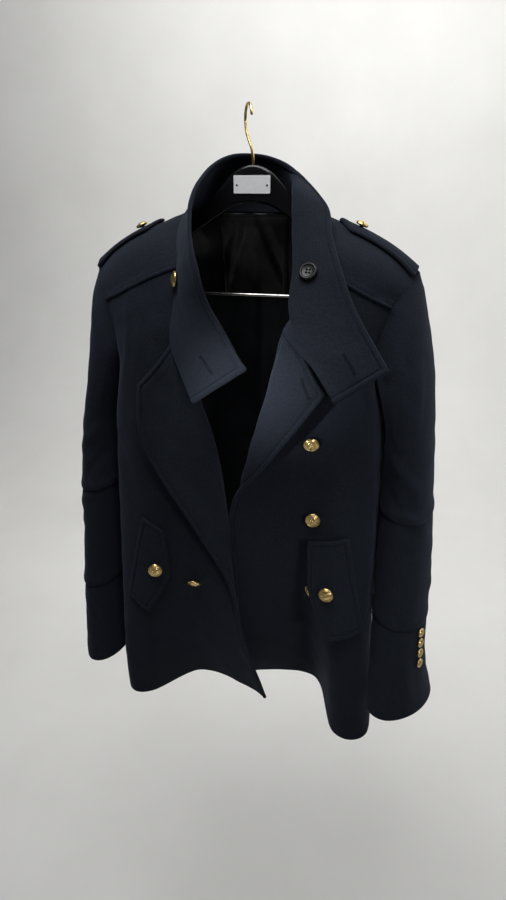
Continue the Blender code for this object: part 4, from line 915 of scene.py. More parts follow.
def back_and_lining():
    """The back with its middle seam and hem, and its lining with a pleat."""
    us, grid, turn = back_net()
    x, down = grid[..., 0], run_along(grid)
    edge, hem = from_edges(grid, "first", "last"), from_edges(grid, "foot")
    calm = smooth((down - BACK_CALM_FROM) / BACK_CALM_OVER) * smooth(edge / BACK_CALM_SIDE)
    folds = creased(x, grid[..., 2], CREASES_BACK) * calm + uneven(grid, *UNEVEN["back"])
    folds = folds + side_bulge(grid, us, 1.0)
    to_seam = abs(us - BACK_MIDDLE)[None, :] * np.linalg.norm(np.gradient(grid, us, axis=1), axis=-1)
    seam = sum(rise * hump(to_seam - place, wide) for rise, place, wide in BACK_SEAM)
    fold_line = BACK_HEM_SHARE * stitched(hem - BACK_HEM)
    outer = lifted(grid, turn, WOOL / 2 + folds + seam + fold_line)
    inside = np.minimum(folds, BACK_FOLD_INSIDE)
    cloth("back", outer, lifted(grid, turn, inside - WOOL / 2))

    near = WOOL / 2 + 2 * LAYER_GAP - inside
    beside = x - PLEAT_AT
    pleat = np.where(beside > 0, smooth(1 - beside / PLEAT_OPEN), smooth(beside / PLEAT_STEEP + 1))
    pleat = PLEAT_DEEP * pleat * smooth((down - PLEAT_FROM) / PLEAT_OVER)
    waves = 1 + np.sin(grid[..., 2] * LINING_WAVES + LINING_SLANT * x)
    soft = LINING_SOFT * waves * smooth(edge / LINING_CALM)
    depth = (near + pleat + soft) * smooth((down + LINING_TUCK_UP) / LINING_TUCK)
    rows = hem[:, len(us) // 2] > LINING_HEM
    rear, face = [lifted(grid, -turn, far)[rows][:, 2:-2] for far in (depth, depth + LINING)]
    cloth("back_lining", rear, face, "lining")
    return us, grid, turn, depth + LINING


# Collar

def collar():
    """The collar round the neck, sewn along its edges, with a buttonhole at each end."""
    along, rise = steps(*COLLAR_ALONG), steps(*COLLAR_RISE)
    lines = spline(np.array(COLLAR_STATIONS).transpose(1, 0, 2), rise, None, None, COLLAR_PULL)
    grid = spline(lines.transpose(1, 0, 2), along)
    turn = normals_of(grid)
    half = COLLAR / 2 + stitched(from_edges(grid, "last", "top", "foot"))
    grid = lifted(grid, turn, uneven(grid, *UNEVEN["collar"]))
    outer, inner = lifted(grid, turn, half), lifted(grid, turn, -half)
    cloth("collar", outer, inner)
    for face in (outer, inner):
        sew(face, ("last",))
        sew(face, ("top", "foot"), (SHORT_IN, STITCH_IN))
    for number, ends in enumerate(COLLAR_HOLES, 1):
        _, turns = face_line(grid, turn, along, rise, ends)
        ahead = turns[:, 1].mean() < 0
        points, _ = face_line(outer if ahead else inner, turn, along, rise, ends)
        buttonhole(f"collar_buttonhole_{number}", points, turns if ahead else -turns)


# Sleeves

def sleeve_ring(table, side, angles, levels):
    """Points of the sleeve at an angle and a level each; angle 0 is outermost."""
    table = np.array(table)
    number = np.interp(-levels, -table[:, 0], np.arange(len(table)))
    _, centre_x, centre_y, half_width, half_depth = spline(table, number).T
    x = side * (centre_x + half_width * np.cos(angles))
    swing = np.interp(levels, *zip(*SLEEVE_SWING[side]))
    y = centre_y - half_depth * np.sin(angles) + swing * half_width * np.cos(angles)
    return np.stack([x, y, levels], axis=1)


def sleeve_net(table, loop, side, fractions):
    """Rings from the armhole down: rows are rings, columns go round."""
    angles = np.linspace(0, 2 * math.pi, SLEEVE_POINTS, endpoint=False)
    rings = []
    for fraction in fractions:
        level = SLEEVE_TOP + fraction * (SLEEVE_END - SLEEVE_TOP)
        settle = smooth(fraction / SLEEVE_LEVEL_AT)
        start = loop[:, 2]
        levels = start + (level - start) * settle
        levels = np.minimum(levels, start - LEAST_FALL * fraction * (start - SLEEVE_END))
        ring = sleeve_ring(table, side, angles, levels)
        keep = max(1 - fraction / ARMHOLE_FADE, 0.0) ** 2
        drop = loop.copy()
        drop[:, 2] = levels
        rings.append(ring * (1 - keep) + drop * keep)
    return np.array(rings)


def sleeve(name, side, table, rows, creases):
    """A sleeve of three lengths, each lapped over the next, that starts in the armhole."""
    loop = armhole(rows, side)
    into = unit((loop.mean(axis=0) - loop) * (0.0, 1.0, 1.0))
    share = np.interp(loop[:, 2], *zip(*ARMHOLE_SHARE))
    rim = loop + share[:, None] * (np.array((side * ARMHOLE_OUT, 0.0, 0.0)) + into * ARMHOLE_IN)
    turns = np.linspace(0, 360, SLEEVE_POINTS, endpoint=False)
    degree = SLEEVE_GIRTH / 360
    folds = [(a * degree, b, c * degree, d, *rest) for a, b, c, d, *rest in creases]
    for part, top, foot, count in SLEEVE_PARTS:
        lap = 0.0 if part == "cuff" else SEAM_LAP / (SLEEVE_TOP - SLEEVE_END)
        grid = sleeve_net(table, rim, side, np.linspace(top, foot + lap, count + 1))
        if part == "sleeve_upper":
            tuck = [loop + (grid[0] - loop) * reach for reach in ARMHOLE_TUCK]
            grid = np.concatenate([np.array(tuck), grid])
        turn = round_normals(grid, side)
        levels = grid[..., 2]
        height = uneven(grid, *UNEVEN["sleeve"])
        for lapped in (-360, 0, 360):
            across = (turns + lapped)[None, :] * degree + 0 * levels
            height += SLEEVE_SOFT[side] * creased(across, levels, folds)
        if side > 0:
            inmost = hump((turns - 180)[None, :] * degree, SLEEVE_BULGE_OVER)
            height += SLEEVE_BULGE * inmost * hump(levels - TOUCH_LEVEL, TOUCH_OVER)
        start, end = run_along(grid), from_edges(grid, "foot")
        lift = welt = 0.0
        if part == "sleeve_upper":
            height *= smooth((start - SLEEVE_CALM_FROM) / SLEEVE_CALM_OVER)
        else:
            lift = -SEAM_SINK * smooth((SEAM_LAP + SEAM_EASE - start) / SEAM_EASE)
        if part != "cuff":
            lift = lift + SEAM_LIFT * smooth((SEAM_LAP + SEAM_EASE - end) / SEAM_EASE)
            welt = stitched(end)
        outer = lifted(grid, turn, WOOL / 2 + height + lift + welt)
        inner = lifted(grid, turn, height + lift - WOOL / 2)
        cloth(f"{part}_{name}", outer, inner, closed=True)
        if part != "cuff":
            sew(wrapped(outer), ("foot",), (0.0, 0.0))


def round_normals(grid, side):
    """Outward normals of a round grid."""
    joined = np.concatenate([grid[:, -1:], grid, grid[:, :1]], axis=1)
    return normals_of(joined)[:, 1:-1] * side


# Pocket flaps and shoulder straps

def pocket_flap(name, rows, corners, lift):
    """A slanted flap laid on a front, which lifts towards its free side."""
    panel = Panel(rows)
    sewn_top, sewn_foot, *free_side = np.array(corners)
    shares = steps(*FLAP_SHARES)
    net = []
    for fall in steps(*FLAP_FALLS):
        sewn = sewn_top + (sewn_foot - sewn_top) * fall
        free = at_run(fall, (0.0, 0.5, 1.0), np.array(free_side))
        net.append([panel.at(*(sewn + (free - sewn) * share)) for share in shares])
    points, turn = np.array(net).transpose(2, 0, 1, 3)
    turn = unit(blurred(turn, 4))
    near = WOOL / 2 + PIECE_GAP + lift * shares ** FLAP_CURL
    soft = stitched(from_edges(points, *ALL_EDGES)) + uneven(points, *UNEVEN["flap"])
    outer = lifted(points, turn, near + FLAP + soft)
    cloth(f"pocket_flap_{name}", outer, lifted(points, turn, near))
    sew(outer, ALL_EDGES)


def blurred(values, rounds):
    """Values of a grid evened out with their neighbours."""
    for _ in range(rounds):
        padded = np.pad(values, ((1, 1), (1, 1), (0, 0)), mode="edge")
        values = (padded[:-2, 1:-1] + padded[2:, 1:-1] + padded[1:-1, :-2] + padded[1:-1, 2:]) / 4
    return values


def down_at(grid, columns, share):
    """The line down a grid at a share of the way along its columns."""
    return np.array([at_run(share, columns, row) for row in grid])


def strap(name, side, yoke_nets, back):
    """A strap over the shoulder seam, laid on the yoke and the back."""
    us, *back_nets, _ = back
    yoke_columns = steps(*FRONT_US)
    yoke_columns = yoke_columns[yoke_columns <= ROLL + TINY] / ROLL
    back_columns = us[us <= BACK_NECK + TINY] / BACK_NECK
    back_nets = [net[:, :: int(side)][:, : len(back_columns)] for net in back_nets]
    end = STRAP_END[name]
    taper_from = end - (end - STRAP_START) / STRAP_TAPER
    shares = steps(*STRAP_SHARES)
    halves = (
        (yoke_nets, yoke_columns, abs(shares[shares <= 0]) * STRAP_HALF_FRONT),
        (back_nets, back_columns, shares[shares > 0] * STRAP_HALF_BACK),
    )
    rows = []
    for place in steps((STRAP_START, taper_from, STRAP_ROWS), (taper_from, end, STRAP_POINT_ROWS)):
        narrow = 1 - (1 - STRAP_POINT) * smooth((place - taper_from) / (end - taper_from))
        row = []
        for nets, columns, reach in halves:
            lines = [down_at(net, columns, place) for net in nets]
            row.append([at_run(reach * narrow, run_along(lines[0]), line) for line in lines])
        rows.append(np.concatenate(row, axis=1))
    points, turns = np.array(rows).transpose(1, 0, 2, 3)
    points, turns = blurred(points, 1), unit(blurred(turns, 6))
    near = WOOL / 2 + PIECE_GAP
    edges = ("first", "last", "foot")
    outer = lifted(points, turns, near + STRAP + stitched(from_edges(points, *edges)))
    cloth(f"shoulder_strap_{name}", outer, lifted(points, turns, near))
    sew(outer, edges)


# Patch inside the neck

PATCH_COUNT, PATCH_NEAREST, PATCH_BLEND = 60, 6, 2e-5
# It lies off the lining, only behind this depth, with its rear face raised
PATCH_OFF, PATCH_BEHIND, PATCH_RISE = 0.0012, 0.03, 0.0008
PATCH_STITCH, PATCH_STITCH_OUT, PATCH_STITCH_IN = 0.5, 0.003, 0.0032
PATCH_DIP, PATCH_DIP_OVER = 0.0028, 0.018
# Its creases: height, shift, slope and half width about the middle level
PATCH_MIDDLE = -0.20
PATCH_CREASES = ((0.0016, -0.018, 0.4, 0.014), (0.0012, 0.052, -0.3, 0.012))


def neck_patch(back):
    """A leather patch laid on the lining below the neck."""
    _, grid, turn, depth = back
    flat = lifted(grid, -turn, depth + PATCH_OFF).reshape(-1, 3)
    ways = turn.reshape(-1, 3)
    ahead = np.where(flat[:, 1] > PATCH_BEHIND, 0.0, 1.0)
    points = np.empty((PATCH_COUNT, PATCH_COUNT, 3))
    turns = np.empty_like(points)
    for row, level in enumerate(np.linspace(PATCH_TOP, PATCH_FOOT, PATCH_COUNT)):
        for column, x in enumerate(PATCH_X + np.linspace(-PATCH_WIDTH / 2, PATCH_WIDTH / 2, PATCH_COUNT)):
            far = (flat[:, 0] - x) ** 2 + (flat[:, 2] - level) ** 2 + ahead
            close = np.argpartition(far, PATCH_NEAREST)[:PATCH_NEAREST]
            weight = 1 / (far[close] + PATCH_BLEND)
            weight = weight / weight.sum()
            points[row, column] = (x, (flat[close, 1] * weight).sum(), level)
            turns[row, column] = (ways[close] * weight[:, None]).sum(axis=0)
    points, turns = blurred(points, 3), unit(blurred(turns, 6))
    soft = PATCH_STITCH * stitched(from_edges(points, *ALL_EDGES) + PATCH_STITCH_OUT)
    for rise, shift, slope, wide in PATCH_CREASES:
        soft += rise * hump(points[..., 0] + shift + slope * (points[..., 2] - PATCH_MIDDLE), wide)
    points = lifted(points, turns, PATCH_DIP * smooth(1 - run_along(points) / PATCH_DIP_OVER))
    inner = lifted(points, turns, -(PATCH + soft + PATCH_RISE))
    cloth("neck_patch", lifted(points, turns, -PATCH_RISE), inner, "leather",
          ending="leather")
    for edge in ALL_EDGES:
        stitch_along(line_inside(inner, edge, PATCH_STITCH_IN)[::2])


# Buttons

# The backs of the buttons: shares of the radius and the height
GOLD_BACK = ((0.30, 0.0), (0.30, 0.20), (0.55, 0.26), (0.90, 0.34), (0.985, 0.44), (1.0, 0.54), (0.985, 0.62))
HORN_BACK = ((0.5, 0.0), (0.92, 0.10), (1.0, 0.45))
# Their faces' rings from the rim in: first and last share of the radius, and how many
GOLD_FACE_RINGS, HORN_FACE_RINGS = (0.955, 0.03, 30), (0.97, 0.02, 36)
# Rings of relief: height, place and half width in shares; the plain ones are the rim,
# the heart and two grooves
GOLD_PLAIN = ((0.07, 0.90, 0.07), (0.10, 0.0, 0.14), (-0.05, 0.82, 0.04), (-0.04, 0.61, 0.04))
GOLD_CORD, GOLD_ROSETTE, GOLD_DOME = (0.055, 0.72, 0.06), (0.11, 0.33, 0.25), 0.30
GOLD_SIDES, GOLD_CORDS, CORD_WAVE, GOLD_PETALS, PETAL_POWER = 72, 24, 0.3, 6, 0.7
HORN_SIDES, HORN_FACE, HORN_RIM = 96, 0.72, (0.26, 0.82, 0.22)
HORN_DISH, HORN_DISH_FROM, HORN_DISH_OVER = 0.10, 0.6, 0.2
HOLE_AT, HOLE_RADIUS, HOLE_SOFT, HOLE_DEEP = 0.24, 0.115, 0.03, 0.55
GOLD_SHARE, BUTTON_SINK = 0.92, 0.0014
# How far a loose button's face hangs over, in shares of its axis, and how far it stands off
BUTTON_TILT = {
    "button_front_left_1": ((0.0, 0.0, -0.28), 0.0004),
    "button_front_left_2": ((0.35, 0.0, 0.0), 0.0008),
    "button_front_right_3": ((0.0, 0.0, -0.85), 0.0045),
}


def seat(node, toward):
    """Foot, outward way, radius and height of a button, from its solid."""
    points = np.array([vertex.co[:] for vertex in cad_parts[node].data.vertices])
    middle = (points.min(axis=0) + points.max(axis=0)) / 2
    _, _, ways = np.linalg.svd(points - points.mean(axis=0), full_matrices=False)
    axis = ways[2] * (1.0 if np.dot(ways[2], toward) > 0 else -1.0)
    along = (points - middle) @ axis
    aside = points - middle - np.outer(along, axis)
    radius = np.linalg.norm(aside - aside.mean(axis=0), axis=1).max()
    foot = middle + axis * along.min() + aside.mean(axis=0)
    return foot - MIDDLE, axis, float(radius), float(along.max() - along.min())


def turned(name, foot, axis, rings, heights, slot):
    """A turned piece: rings of radii, and heights by ring and step round the axis."""
    guide = (0.0, 0.0, 1.0) if abs(axis[2]) < 0.9 else (0.0, 1.0, 0.0)
    first = unit(np.cross(guide, axis))
    second = np.cross(axis, first)
    count, around = heights.shape
    points = np.array([ring_about(foot, first, second, ring, around) for ring in rings])
    points = points + heights[..., None] * axis
    ends = [foot + axis * heights[0].mean(), foot + axis * heights[-1].mean()]
    points = np.concatenate([points.reshape(-1, 3), ends])
    faces = ring_faces(count, around)
    total, top = count * around, (count - 1) * around
    for step in range(around):
        after = (step + 1) % around
        faces += [(total, after, step), (total + 1, top + step, top + after)]
    return mesh_object(name, points, faces, slot)


def relief(share, rise, place, wide):
    """Height of a ring of relief at a share of a button's radius."""
    return rise * hump(share - place, wide)


def gold_button(node, toward):
    """A domed metal button with a rolled rim, a corded ring and a rosette."""
    foot, axis, radius, height = seat(node, toward)
    tilt, lift = BUTTON_TILT.get(node, ((0.0, 0.0, 0.0), -BUTTON_SINK))
    foot = foot + axis * lift
    axis = unit(axis + np.array(tilt))
    angles = np.linspace(0, 2 * math.pi, GOLD_SIDES, endpoint=False)
    cords = 1 - CORD_WAVE + CORD_WAVE * np.cos(GOLD_CORDS * angles)
    petals = (0.5 + 0.5 * np.cos(GOLD_PETALS * angles)) ** PETAL_POWER
    shares = np.linspace(*GOLD_FACE_RINGS)
    rings = np.array([share for share, _ in GOLD_BACK] + list(shares)) * radius * GOLD_SHARE
    heights = [np.full(GOLD_SIDES, level) for _, level in GOLD_BACK]
    for share in shares:
        dome = GOLD_BACK[-1][1] + GOLD_DOME * (1 - share**2)
        plain = sum(relief(share, *ring) for ring in GOLD_PLAIN)
        patterned = relief(share, *GOLD_CORD) * cords + relief(share, *GOLD_ROSETTE) * petals
        heights.append(dome + plain + patterned)
    name = node.replace("button", "gold_button")
    belongs(turned(name, foot, axis, rings, np.array(heights) * height, "gold"), "gold", node)


def horn_button(node):
    """A flat black button with a rim, a dished face and four sewn holes."""
    foot, axis, radius, height = seat(node, (0, -1, 0))
    angles = np.linspace(0, 2 * math.pi, HORN_SIDES, endpoint=False)
    shares = np.linspace(*HORN_FACE_RINGS)
    rings = np.array([share for share, _ in HORN_BACK] + list(shares)) * radius
    heights = [np.full(HORN_SIDES, level) for _, level in HORN_BACK]
    for share in shares:
        dish = HORN_DISH * smooth((HORN_DISH_FROM - share) / HORN_DISH_OVER)
        face = HORN_FACE + relief(share, *HORN_RIM) - dish
        for turn in np.radians((45, 135, 225, 315)):
            far = np.hypot(share * np.cos(angles) - HOLE_AT * math.cos(turn),
                           share * np.sin(angles) - HOLE_AT * math.sin(turn))
            face = face - HOLE_DEEP * smooth((HOLE_RADIUS - far) / HOLE_SOFT)
        heights.append(face)
    belongs(turned("horn_button", foot, axis, rings, np.array(heights) * height, "horn"), "horn", node)


def buttons():
    for side, way in (("left", 1.0), ("right", -1.0)):
        for number in (1, 2, 3):
            gold_button(f"button_front_{side}_{number}", (0, -1, 0))
        gold_button(f"button_neck_{side}", (0, -1, 0))
        gold_button(f"button_pocket_{side}", (0, -1, 0))
        gold_button(f"button_shoulder_{side}", (0, 0, 1))
        for number in (1, 2, 3, 4):
            gold_button(f"button_cuff_{side}_{number}", (way, -0.3, 0))
    horn_button("button_collar")


# Hanger

WIRE_SIDES, WIRE_END = 16, (15, 45, 70)
# The arms' rings, sides and soft square section, and how they thin out at the tips
ARM_RINGS, ARM_SIDES, ARM_SQUARE_DEEP, ARM_SQUARE_TALL = 121, 28, 0.45, 0.35
ARM_END, ARM_END_TALL, ARM_END_RINGS = 0.35, 0.9, 5
HOOK_STRAIGHT, HOOK_ARC, HOOK_RINGS = -0.064, range(205, 9, -15), 120
BAR_INTO, BAR_RINGS = 0.004, 90
# The plate's corners, its rings from the rear, and its pins' places and profile
PLATE_CORNER, PLATE_RINGS = 0.0016, ((1.0, 0.0), (1.0, 0.75), (0.992, 1.0))
PIN_X, PIN_DOWN, PIN_SIDES = 0.021, 0.001, 20
PIN_PROFILE = ((0.0014, -0.0004), (0.0014, 0.0001), (0.00112, 0.0004), (0.00056, 0.0006), (0.00014, 0.0006))


def wire(name, path, radius, slot, node):
    """A round wire along a path with rounded ends."""
    along = unit(np.gradient(path, axis=0))
    side = np.array((0.0, 1.0, 0.0)) if abs(along[0][1]) < 0.9 else np.array((1.0, 0.0, 0.0))
    ends = [(0, -math.cos(a) * radius, math.sin(a)) for a in np.radians(WIRE_END)]
    stops = ends + [(k, 0.0, 1.0) for k in range(len(path))]
    stops += [(len(path) - 1, -reach, swell) for _, reach, swell in ends[::-1]]
    rings = []
    for place, reach, swell in stops:
        ahead = along[place]
        side = unit(side - ahead * np.dot(side, ahead))
        centre = path[place] + ahead * reach
        rings.append(ring_about(centre, side, np.cross(ahead, side), radius * swell, WIRE_SIDES))
    made = mesh_object(name, np.concatenate(rings), capped_faces(len(stops), WIRE_SIDES), slot)
    belongs(made, slot, node)


def hanger_arms():
    """The arms as one moulding with a soft square section all along."""
    number = np.linspace(0, 2 * len(ARM_TOP) - 2, ARM_RINGS)
    top, foot = [spline(both_halves(half), number) for half in (ARM_TOP, ARM_FOOT)]
    reach = np.minimum(np.arange(ARM_RINGS), np.arange(ARM_RINGS)[::-1])
    swells = ARM_END + (1 - ARM_END) * smooth(reach / ARM_END_RINGS)
    angles = np.linspace(0, 2 * math.pi, ARM_SIDES, endpoint=False)
    ahead, up = [np.sign(wave) * abs(wave) ** power for wave, power in
                 ((np.cos(angles), ARM_SQUARE_DEEP), (np.sin(angles), ARM_SQUARE_TALL))]
    rings = []
    for (x, high), (_, low), swell in zip(top, foot, swells):
        tall = (high - low) / 2 * (ARM_END_TALL + (1 - ARM_END_TALL) * swell)
        section = (np.full(ARM_SIDES, x), ARM_HALF_DEPTH * swell * ahead, (high + low) / 2 + tall * up)
        rings.append(np.stack(section, axis=1))
    made = mesh_object("hanger_body", np.concatenate(rings), capped_faces(ARM_RINGS, ARM_SIDES), "hanger")
    belongs(made, "hanger", "hanger_arms")


def hanger_wires():
    """The hook that turns over the rail, and the bar below the arms."""
    across = np.array((math.cos(HOOK_LEAN), -math.sin(HOOK_LEAN), 0.0))
    centre = np.array((0.0, 0.0, HOOK_RADIUS - HOOK_BEND))
    foot = np.array((-HANG_X, 0.0, 0.0))
    path = [foot + (0, 0, ARM_TOP[0][1]), foot + (0, 0, HOOK_STRAIGHT)]
    for keep, swing, level in HOOK_STEM:
        path.append(foot * keep - across * swing + (0, 0, level))
    for angle in np.radians(HOOK_ARC):
        path.append(centre + HOOK_BEND * (across * math.cos(angle) + np.array((0, 0, math.sin(angle)))))
    path = np.array(path) + (HANG_X, 0.0, 0.0)
    path = spline(path, np.linspace(0, len(path) - 1, HOOK_RINGS))
    wire("hook", path, HOOK_RADIUS, "brass", "hanger_hook")
    half = [(0.0, BAR_LEVEL), (BAR_HALF - BAR_BEND, BAR_LEVEL),
            (BAR_HALF - BAR_BEND / 4, BAR_LEVEL + BAR_BEND / 3),
            (BAR_HALF, BAR_LEVEL + BAR_BEND), (BAR_HALF, ARM_FOOT[-2][1] + BAR_INTO)]
    path = np.insert(both_halves(half), 1, 0.0, axis=1)
    path = spline(path, np.linspace(0, len(path) - 1, BAR_RINGS))
    wire("trouser_bar", path, BAR_RADIUS, "steel", "hanger_bar")


def hanger_plate():
    """A plain card with round corners and a pin at each end."""
    half_height = (PLATE_TOP - PLATE_FOOT) / 2
    outline = []
    for x, z, start in ((1, 1, 0), (-1, 1, 90), (-1, -1, 180), (1, -1, 270)):
        for angle in np.radians(range(start, start + 91, 18)):
            outline.append((x * (PLATE_HALF_WIDTH - PLATE_CORNER) + PLATE_CORNER * math.cos(angle),
                            z * (half_height - PLATE_CORNER) + PLATE_CORNER * math.sin(angle)))
    level = (PLATE_TOP + PLATE_FOOT) / 2
    rear = -ARM_HALF_DEPTH - LAYER_GAP
    points = []
    for share, depth in PLATE_RINGS:
        points += [(x * share, rear - PLATE_DEPTH * depth, level + z * share) for x, z in outline]
    faces = capped_faces(len(PLATE_RINGS), len(outline))
    belongs(mesh_object("blank_plate", points, faces, "plate", soft=False), "plate", "hanger_plate")
    axis = np.array((0.0, -1.0, 0.0))
    rings, levels = np.array(PIN_PROFILE).T
    heights = np.repeat(levels[:, None], PIN_SIDES, axis=1)
    for number, x in enumerate((-PIN_X, PIN_X), 1):
        place = np.array((x, rear - PLATE_DEPTH, level - PIN_DOWN))
        belongs(turned(f"plate_pin_{number}", place, axis, rings, heights, "horn"), "horn")


# Finishes

TWILL, CLOUDS, NOISE_ROUGHNESS = (1.0, 1.0, 0.12), (1.0, 1.0, 0.4), 0.6
WEAR, SCRATCHES = (260.0, 4.0), (((1500.0, 2.0), 0.08, 0.0002),)
# Each finish: base colour, roughness, other sockets, then the noise of its colour as
# scale, detail and stretch, two tones with their places on it, and bump layers of a
# noise, a strength and a distance
FINISHES = {
    "wool": (
        (0.0095, 0.0118, 0.0172), 0.92,
        {"Sheen Weight": 0.07, "Sheen Roughness": 0.5, "Sheen Tint": (0.50, 0.60, 0.85, 1.0),
         "Specular IOR Level": 0.08},
        (420.0, 5.0), ((0.30, (0.0060, 0.0076, 0.0113)), (0.72, (0.0130, 0.0162, 0.0236))),
        (((26.0, 3.0), 0.12, 0.004), ((900.0, 3.0), 0.35, 0.0008), ((420.0, 5.0), 0.30, 0.0014)),
    ),
    "thread": (
        (0.007, 0.008, 0.011), 0.85, {"Specular IOR Level": 0.05},
        (2600.0, 2.0), ((0.3, (0.005, 0.006, 0.009)), (0.7, (0.009, 0.011, 0.015))),
        (((2600.0, 2.0), 0.3, 0.0002),),
    ),
    "lining": (
        (0.006, 0.007, 0.009), 0.38, {"Specular IOR Level": 0.4},
        (40.0, 3.0), ((0.3, (0.0045, 0.0052, 0.0068)), (0.7, (0.009, 0.010, 0.013))),
        (((18.0, 2.0), 0.10, 0.006), ((700.0, 2.0, TWILL), 0.18, 0.0004)),
    ),
    "leather": (
        (0.008, 0.008, 0.009), 0.34, {"Specular IOR Level": 0.55},
        (70.0, 4.0), ((0.3, (0.005, 0.005, 0.006)), (0.75, (0.013, 0.012, 0.012))),
        (((30.0, 3.0), 0.25, 0.004), ((620.0, 0.0), 0.22, 0.0006)),
    ),
    "gold": (
        (0.95, 0.72, 0.32), 0.30, {"Metallic": 1.0},
        WEAR, ((0.32, (0.42, 0.28, 0.095)), (0.62, (0.95, 0.72, 0.32))), SCRATCHES,
    ),
    "brass": (
        (0.80, 0.62, 0.28), 0.24, {"Metallic": 1.0},
        WEAR, ((0.32, (0.52, 0.38, 0.14)), (0.62, (0.80, 0.62, 0.28))), SCRATCHES,
    ),
    "steel": (
        (0.72, 0.70, 0.66), 0.20, {"Metallic": 1.0},
        WEAR, ((0.32, (0.46, 0.45, 0.43)), (0.62, (0.72, 0.70, 0.66))), SCRATCHES,
    ),
    "horn": (
        (0.006, 0.006, 0.007), 0.34, {"Specular IOR Level": 0.3},
        (300.0, 3.0, CLOUDS), ((0.35, (0.004, 0.004, 0.005)), (0.75, (0.012, 0.011, 0.011))),
        (((300.0, 3.0, CLOUDS), 0.05, 0.0004),),
    ),
    "hanger": (
        (0.004, 0.004, 0.005), 0.18, {"Specular IOR Level": 0.4},
        (40.0, 3.0), ((0.3, (0.003, 0.003, 0.004)), (0.7, (0.006, 0.006, 0.007))),
        (((160.0, 2.0), 0.05, 0.0008),),
    ),
    "plate": (
        (0.90, 0.91, 0.92), 0.5, {},
        (220.0, 3.0), ((0.3, (0.87, 0.88, 0.89)), (0.7, (0.93, 0.94, 0.95))),
        (((220.0, 3.0), 0.04, 0.0004),),
    ),
    "floor": (
        (0.78, 0.775, 0.755), 0.85, {},
        (1.6, 5.0), ((0.3, (0.74, 0.735, 0.715)), (0.7, (0.81, 0.805, 0.785))), (),
    ),
}
FINISH = {}


def add(tree, kind, **values):
    """A shader node with its sockets set by name."""
    node = tree.nodes.new(kind)
    for socket, value in values.items():
        node.inputs[socket].default_value = value
    return node


def texture(tree, scale, detail, stretch=(1.0, 1.0, 1.0)):
    """Noise over the object's own metres or, with no detail, the cells of a grain."""
    place = tree.nodes.new("ShaderNodeTexCoord")
    mapping = add(tree, "ShaderNodeMapping", Scale=stretch)
    if detail:
        made = add(tree, "ShaderNodeTexNoise", Scale=scale, Detail=detail, Roughness=NOISE_ROUGHNESS)
    else:
        made = add(tree, "ShaderNodeTexVoronoi", Scale=scale)
    tree.links.new(place.outputs["Object"], mapping.inputs["Vector"])
    tree.links.new(mapping.outputs["Vector"], made.inputs["Vector"])
    return made.outputs["Fac" if detail else "Distance"]


def finish(name, base, roughness, sockets, tone_noise, tones, layers):
    """A material of one shader: its constants, two tones over a noise, and bump layers."""
    made = bpy.data.materials.new(name)
    made.use_nodes = True
    tree = made.node_tree
    shader = tree.nodes["Principled BSDF"]
    for socket, value in {"Base Color": (*base, 1.0), "Roughness": roughness, **sockets}.items():
        shader.inputs[socket].default_value = value
    ramp = tree.nodes.new("ShaderNodeValToRGB")
    for stop, (place, colour) in zip(ramp.color_ramp.elements, tones):
        stop.position = place
        stop.color = (*colour, 1.0)
    tree.links.new(texture(tree, *tone_noise), ramp.inputs["Fac"])
    tree.links.new(ramp.outputs["Color"], shader.inputs["Base Color"])
    onto = shader.inputs["Normal"]
    for noise, strength, distance in layers[::-1]:
        bump = add(tree, "ShaderNodeBump", Strength=strength, Distance=distance)
        tree.links.new(texture(tree, *noise), bump.inputs["Height"])
        tree.links.new(bump.outputs["Normal"], onto)
        onto = bump.inputs["Normal"]
    FINISH[name] = made


# Floor, light and camera

FLOOR_LEVEL, WALL_AT, WALL_BEND = -1.60, 3.2, 1.4
FLOOR_FROM, WALL_TOP, STAGE_HALF = -6.0, 4.0, 7.0
WORLD_COLOUR, WORLD_STRENGTH = (0.95, 0.97, 1.0, 1.0), 0.06
# Lamps: name, place, aim, size, power, spread in degrees
LAMPS = (
    ("top", (-0.10, -0.45, 1.15), (0.0, -0.05, -0.4), 1.2, 29.0, 180.0),
    ("key", (-0.85, -1.90, -0.30), (0.050, -0.15, -0.335), 0.12, 0.11, 5.0),
    ("right", (1.2, -1.6, 0.2), (0.19, -0.1, -0.55), 0.5, 0.26, 14.0),
    ("rear", (1.8, 0.9, 0.9), (0.1, 0.0, -0.4), 1.2, 14.0, 180.0),
    ("wall", (0.0, 1.0, 1.8), (0.0, 3.2, 0.9), 2.4, 84.0, 180.0),
    ("floor", (0.0, 0.6, 2.4), (0.0, 1.6, -1.6), 1.6, 8.0, 180.0),
)
# The photo's camera: place, tilt and turn in degrees, lens and sensor in millimetres
CAMERA_AT, CAMERA_TILT, CAMERA_TURN = (0.2287, -0.9646, -0.088), 68.0, 13.0
CAMERA_LENS, CAMERA_SENSOR = 27.04, 36.0


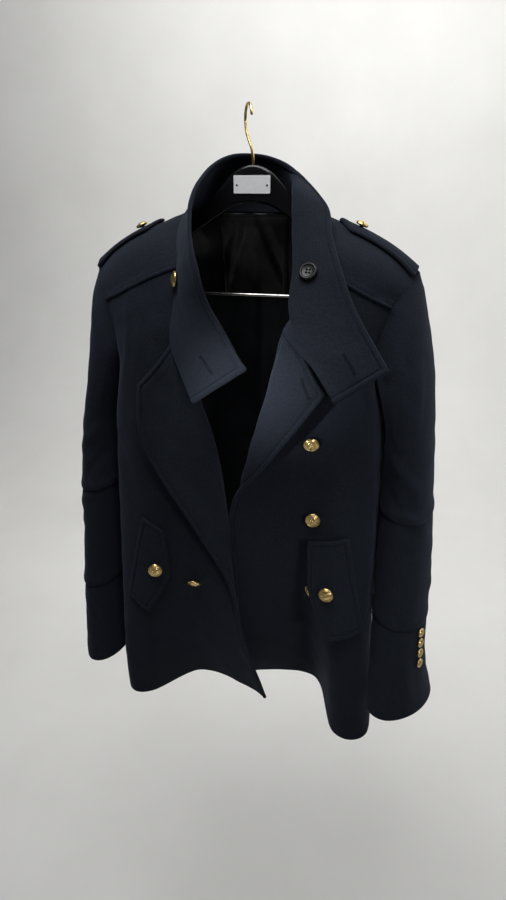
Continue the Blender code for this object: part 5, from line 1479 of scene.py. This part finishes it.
def stage():
    """A pale floor that bends up into a far backdrop."""
    profile = [(FLOOR_FROM, FLOOR_LEVEL), (WALL_AT - WALL_BEND, FLOOR_LEVEL)]
    for angle in np.radians(range(6, 91, 6)):
        profile.append((WALL_AT - WALL_BEND + WALL_BEND * math.sin(angle),
                        FLOOR_LEVEL + WALL_BEND * (1 - math.cos(angle))))
    profile.append((WALL_AT, WALL_TOP))
    points = [(x, y, z) for y, z in profile for x in (-STAGE_HALF, STAGE_HALF)]
    faces = [(2 * k, 2 * k + 1, 2 * k + 3, 2 * k + 2) for k in range(len(profile) - 1)]
    mesh_object("floor", points, faces, "floor")


def lamp(name, place, aim, size, power, spread):
    """A square soft light aimed at a point; a small spread makes a beam."""
    light = bpy.data.lights.new(name, "AREA")
    light.shape = "SQUARE"
    light.size = size
    light.energy = power
    light.spread = math.radians(spread)
    made = bpy.data.objects.new(name, light)
    made.location = place
    way = np.array(aim, float) - np.array(place, float)
    level = math.hypot(way[0], way[1])
    made.rotation_euler = (math.atan2(level, -way[2]), 0.0, math.atan2(-way[0], way[1]))
    bpy.context.scene.collection.objects.link(made)


def light_and_camera():
    world = bpy.data.worlds.new("studio")
    world.use_nodes = True
    backdrop = world.node_tree.nodes["Background"]
    backdrop.inputs["Color"].default_value = WORLD_COLOUR
    backdrop.inputs["Strength"].default_value = WORLD_STRENGTH
    bpy.context.scene.world = world
    bpy.context.scene.view_settings.view_transform = "Standard"
    for values in LAMPS:
        lamp(*values)
    camera = bpy.data.cameras.new("camera")
    camera.lens = CAMERA_LENS
    camera.sensor_width = CAMERA_SENSOR
    holder = bpy.data.objects.new("camera", camera)
    holder.location = CAMERA_AT
    holder.rotation_euler = (math.radians(CAMERA_TILT), 0.0, math.radians(CAMERA_TURN))
    bpy.context.scene.collection.objects.link(holder)
    bpy.context.scene.camera = holder


def main():
    for name, values in FINISHES.items():
        finish(name, *values)
    stage()
    back = back_and_lining()
    neck_patch(back)
    for name, side, rows, table, creases, corners, lift in (
        ("left", 1.0, FRONT_LEFT, SLEEVE_LEFT, CREASES_SLEEVE_LEFT, FLAP_LEFT, FLAP_LIFT_LEFT),
        ("right", -1.0, FRONT_RIGHT, SLEEVE_RIGHT, CREASES_SLEEVE_RIGHT, FLAP_RIGHT, FLAP_LIFT_RIGHT),
    ):
        front = front_and_facing(name, rows)
        yoke_nets = yoke(name, side, rows, front)
        sleeve(name, side, table, rows, creases)
        strap(name, side, yoke_nets, back)
        pocket_flap(name, rows, corners, lift)
    collar()
    buttons()
    topstitching()
    hanger_arms()
    hanger_wires()
    hanger_plate()
    light_and_camera()


main()
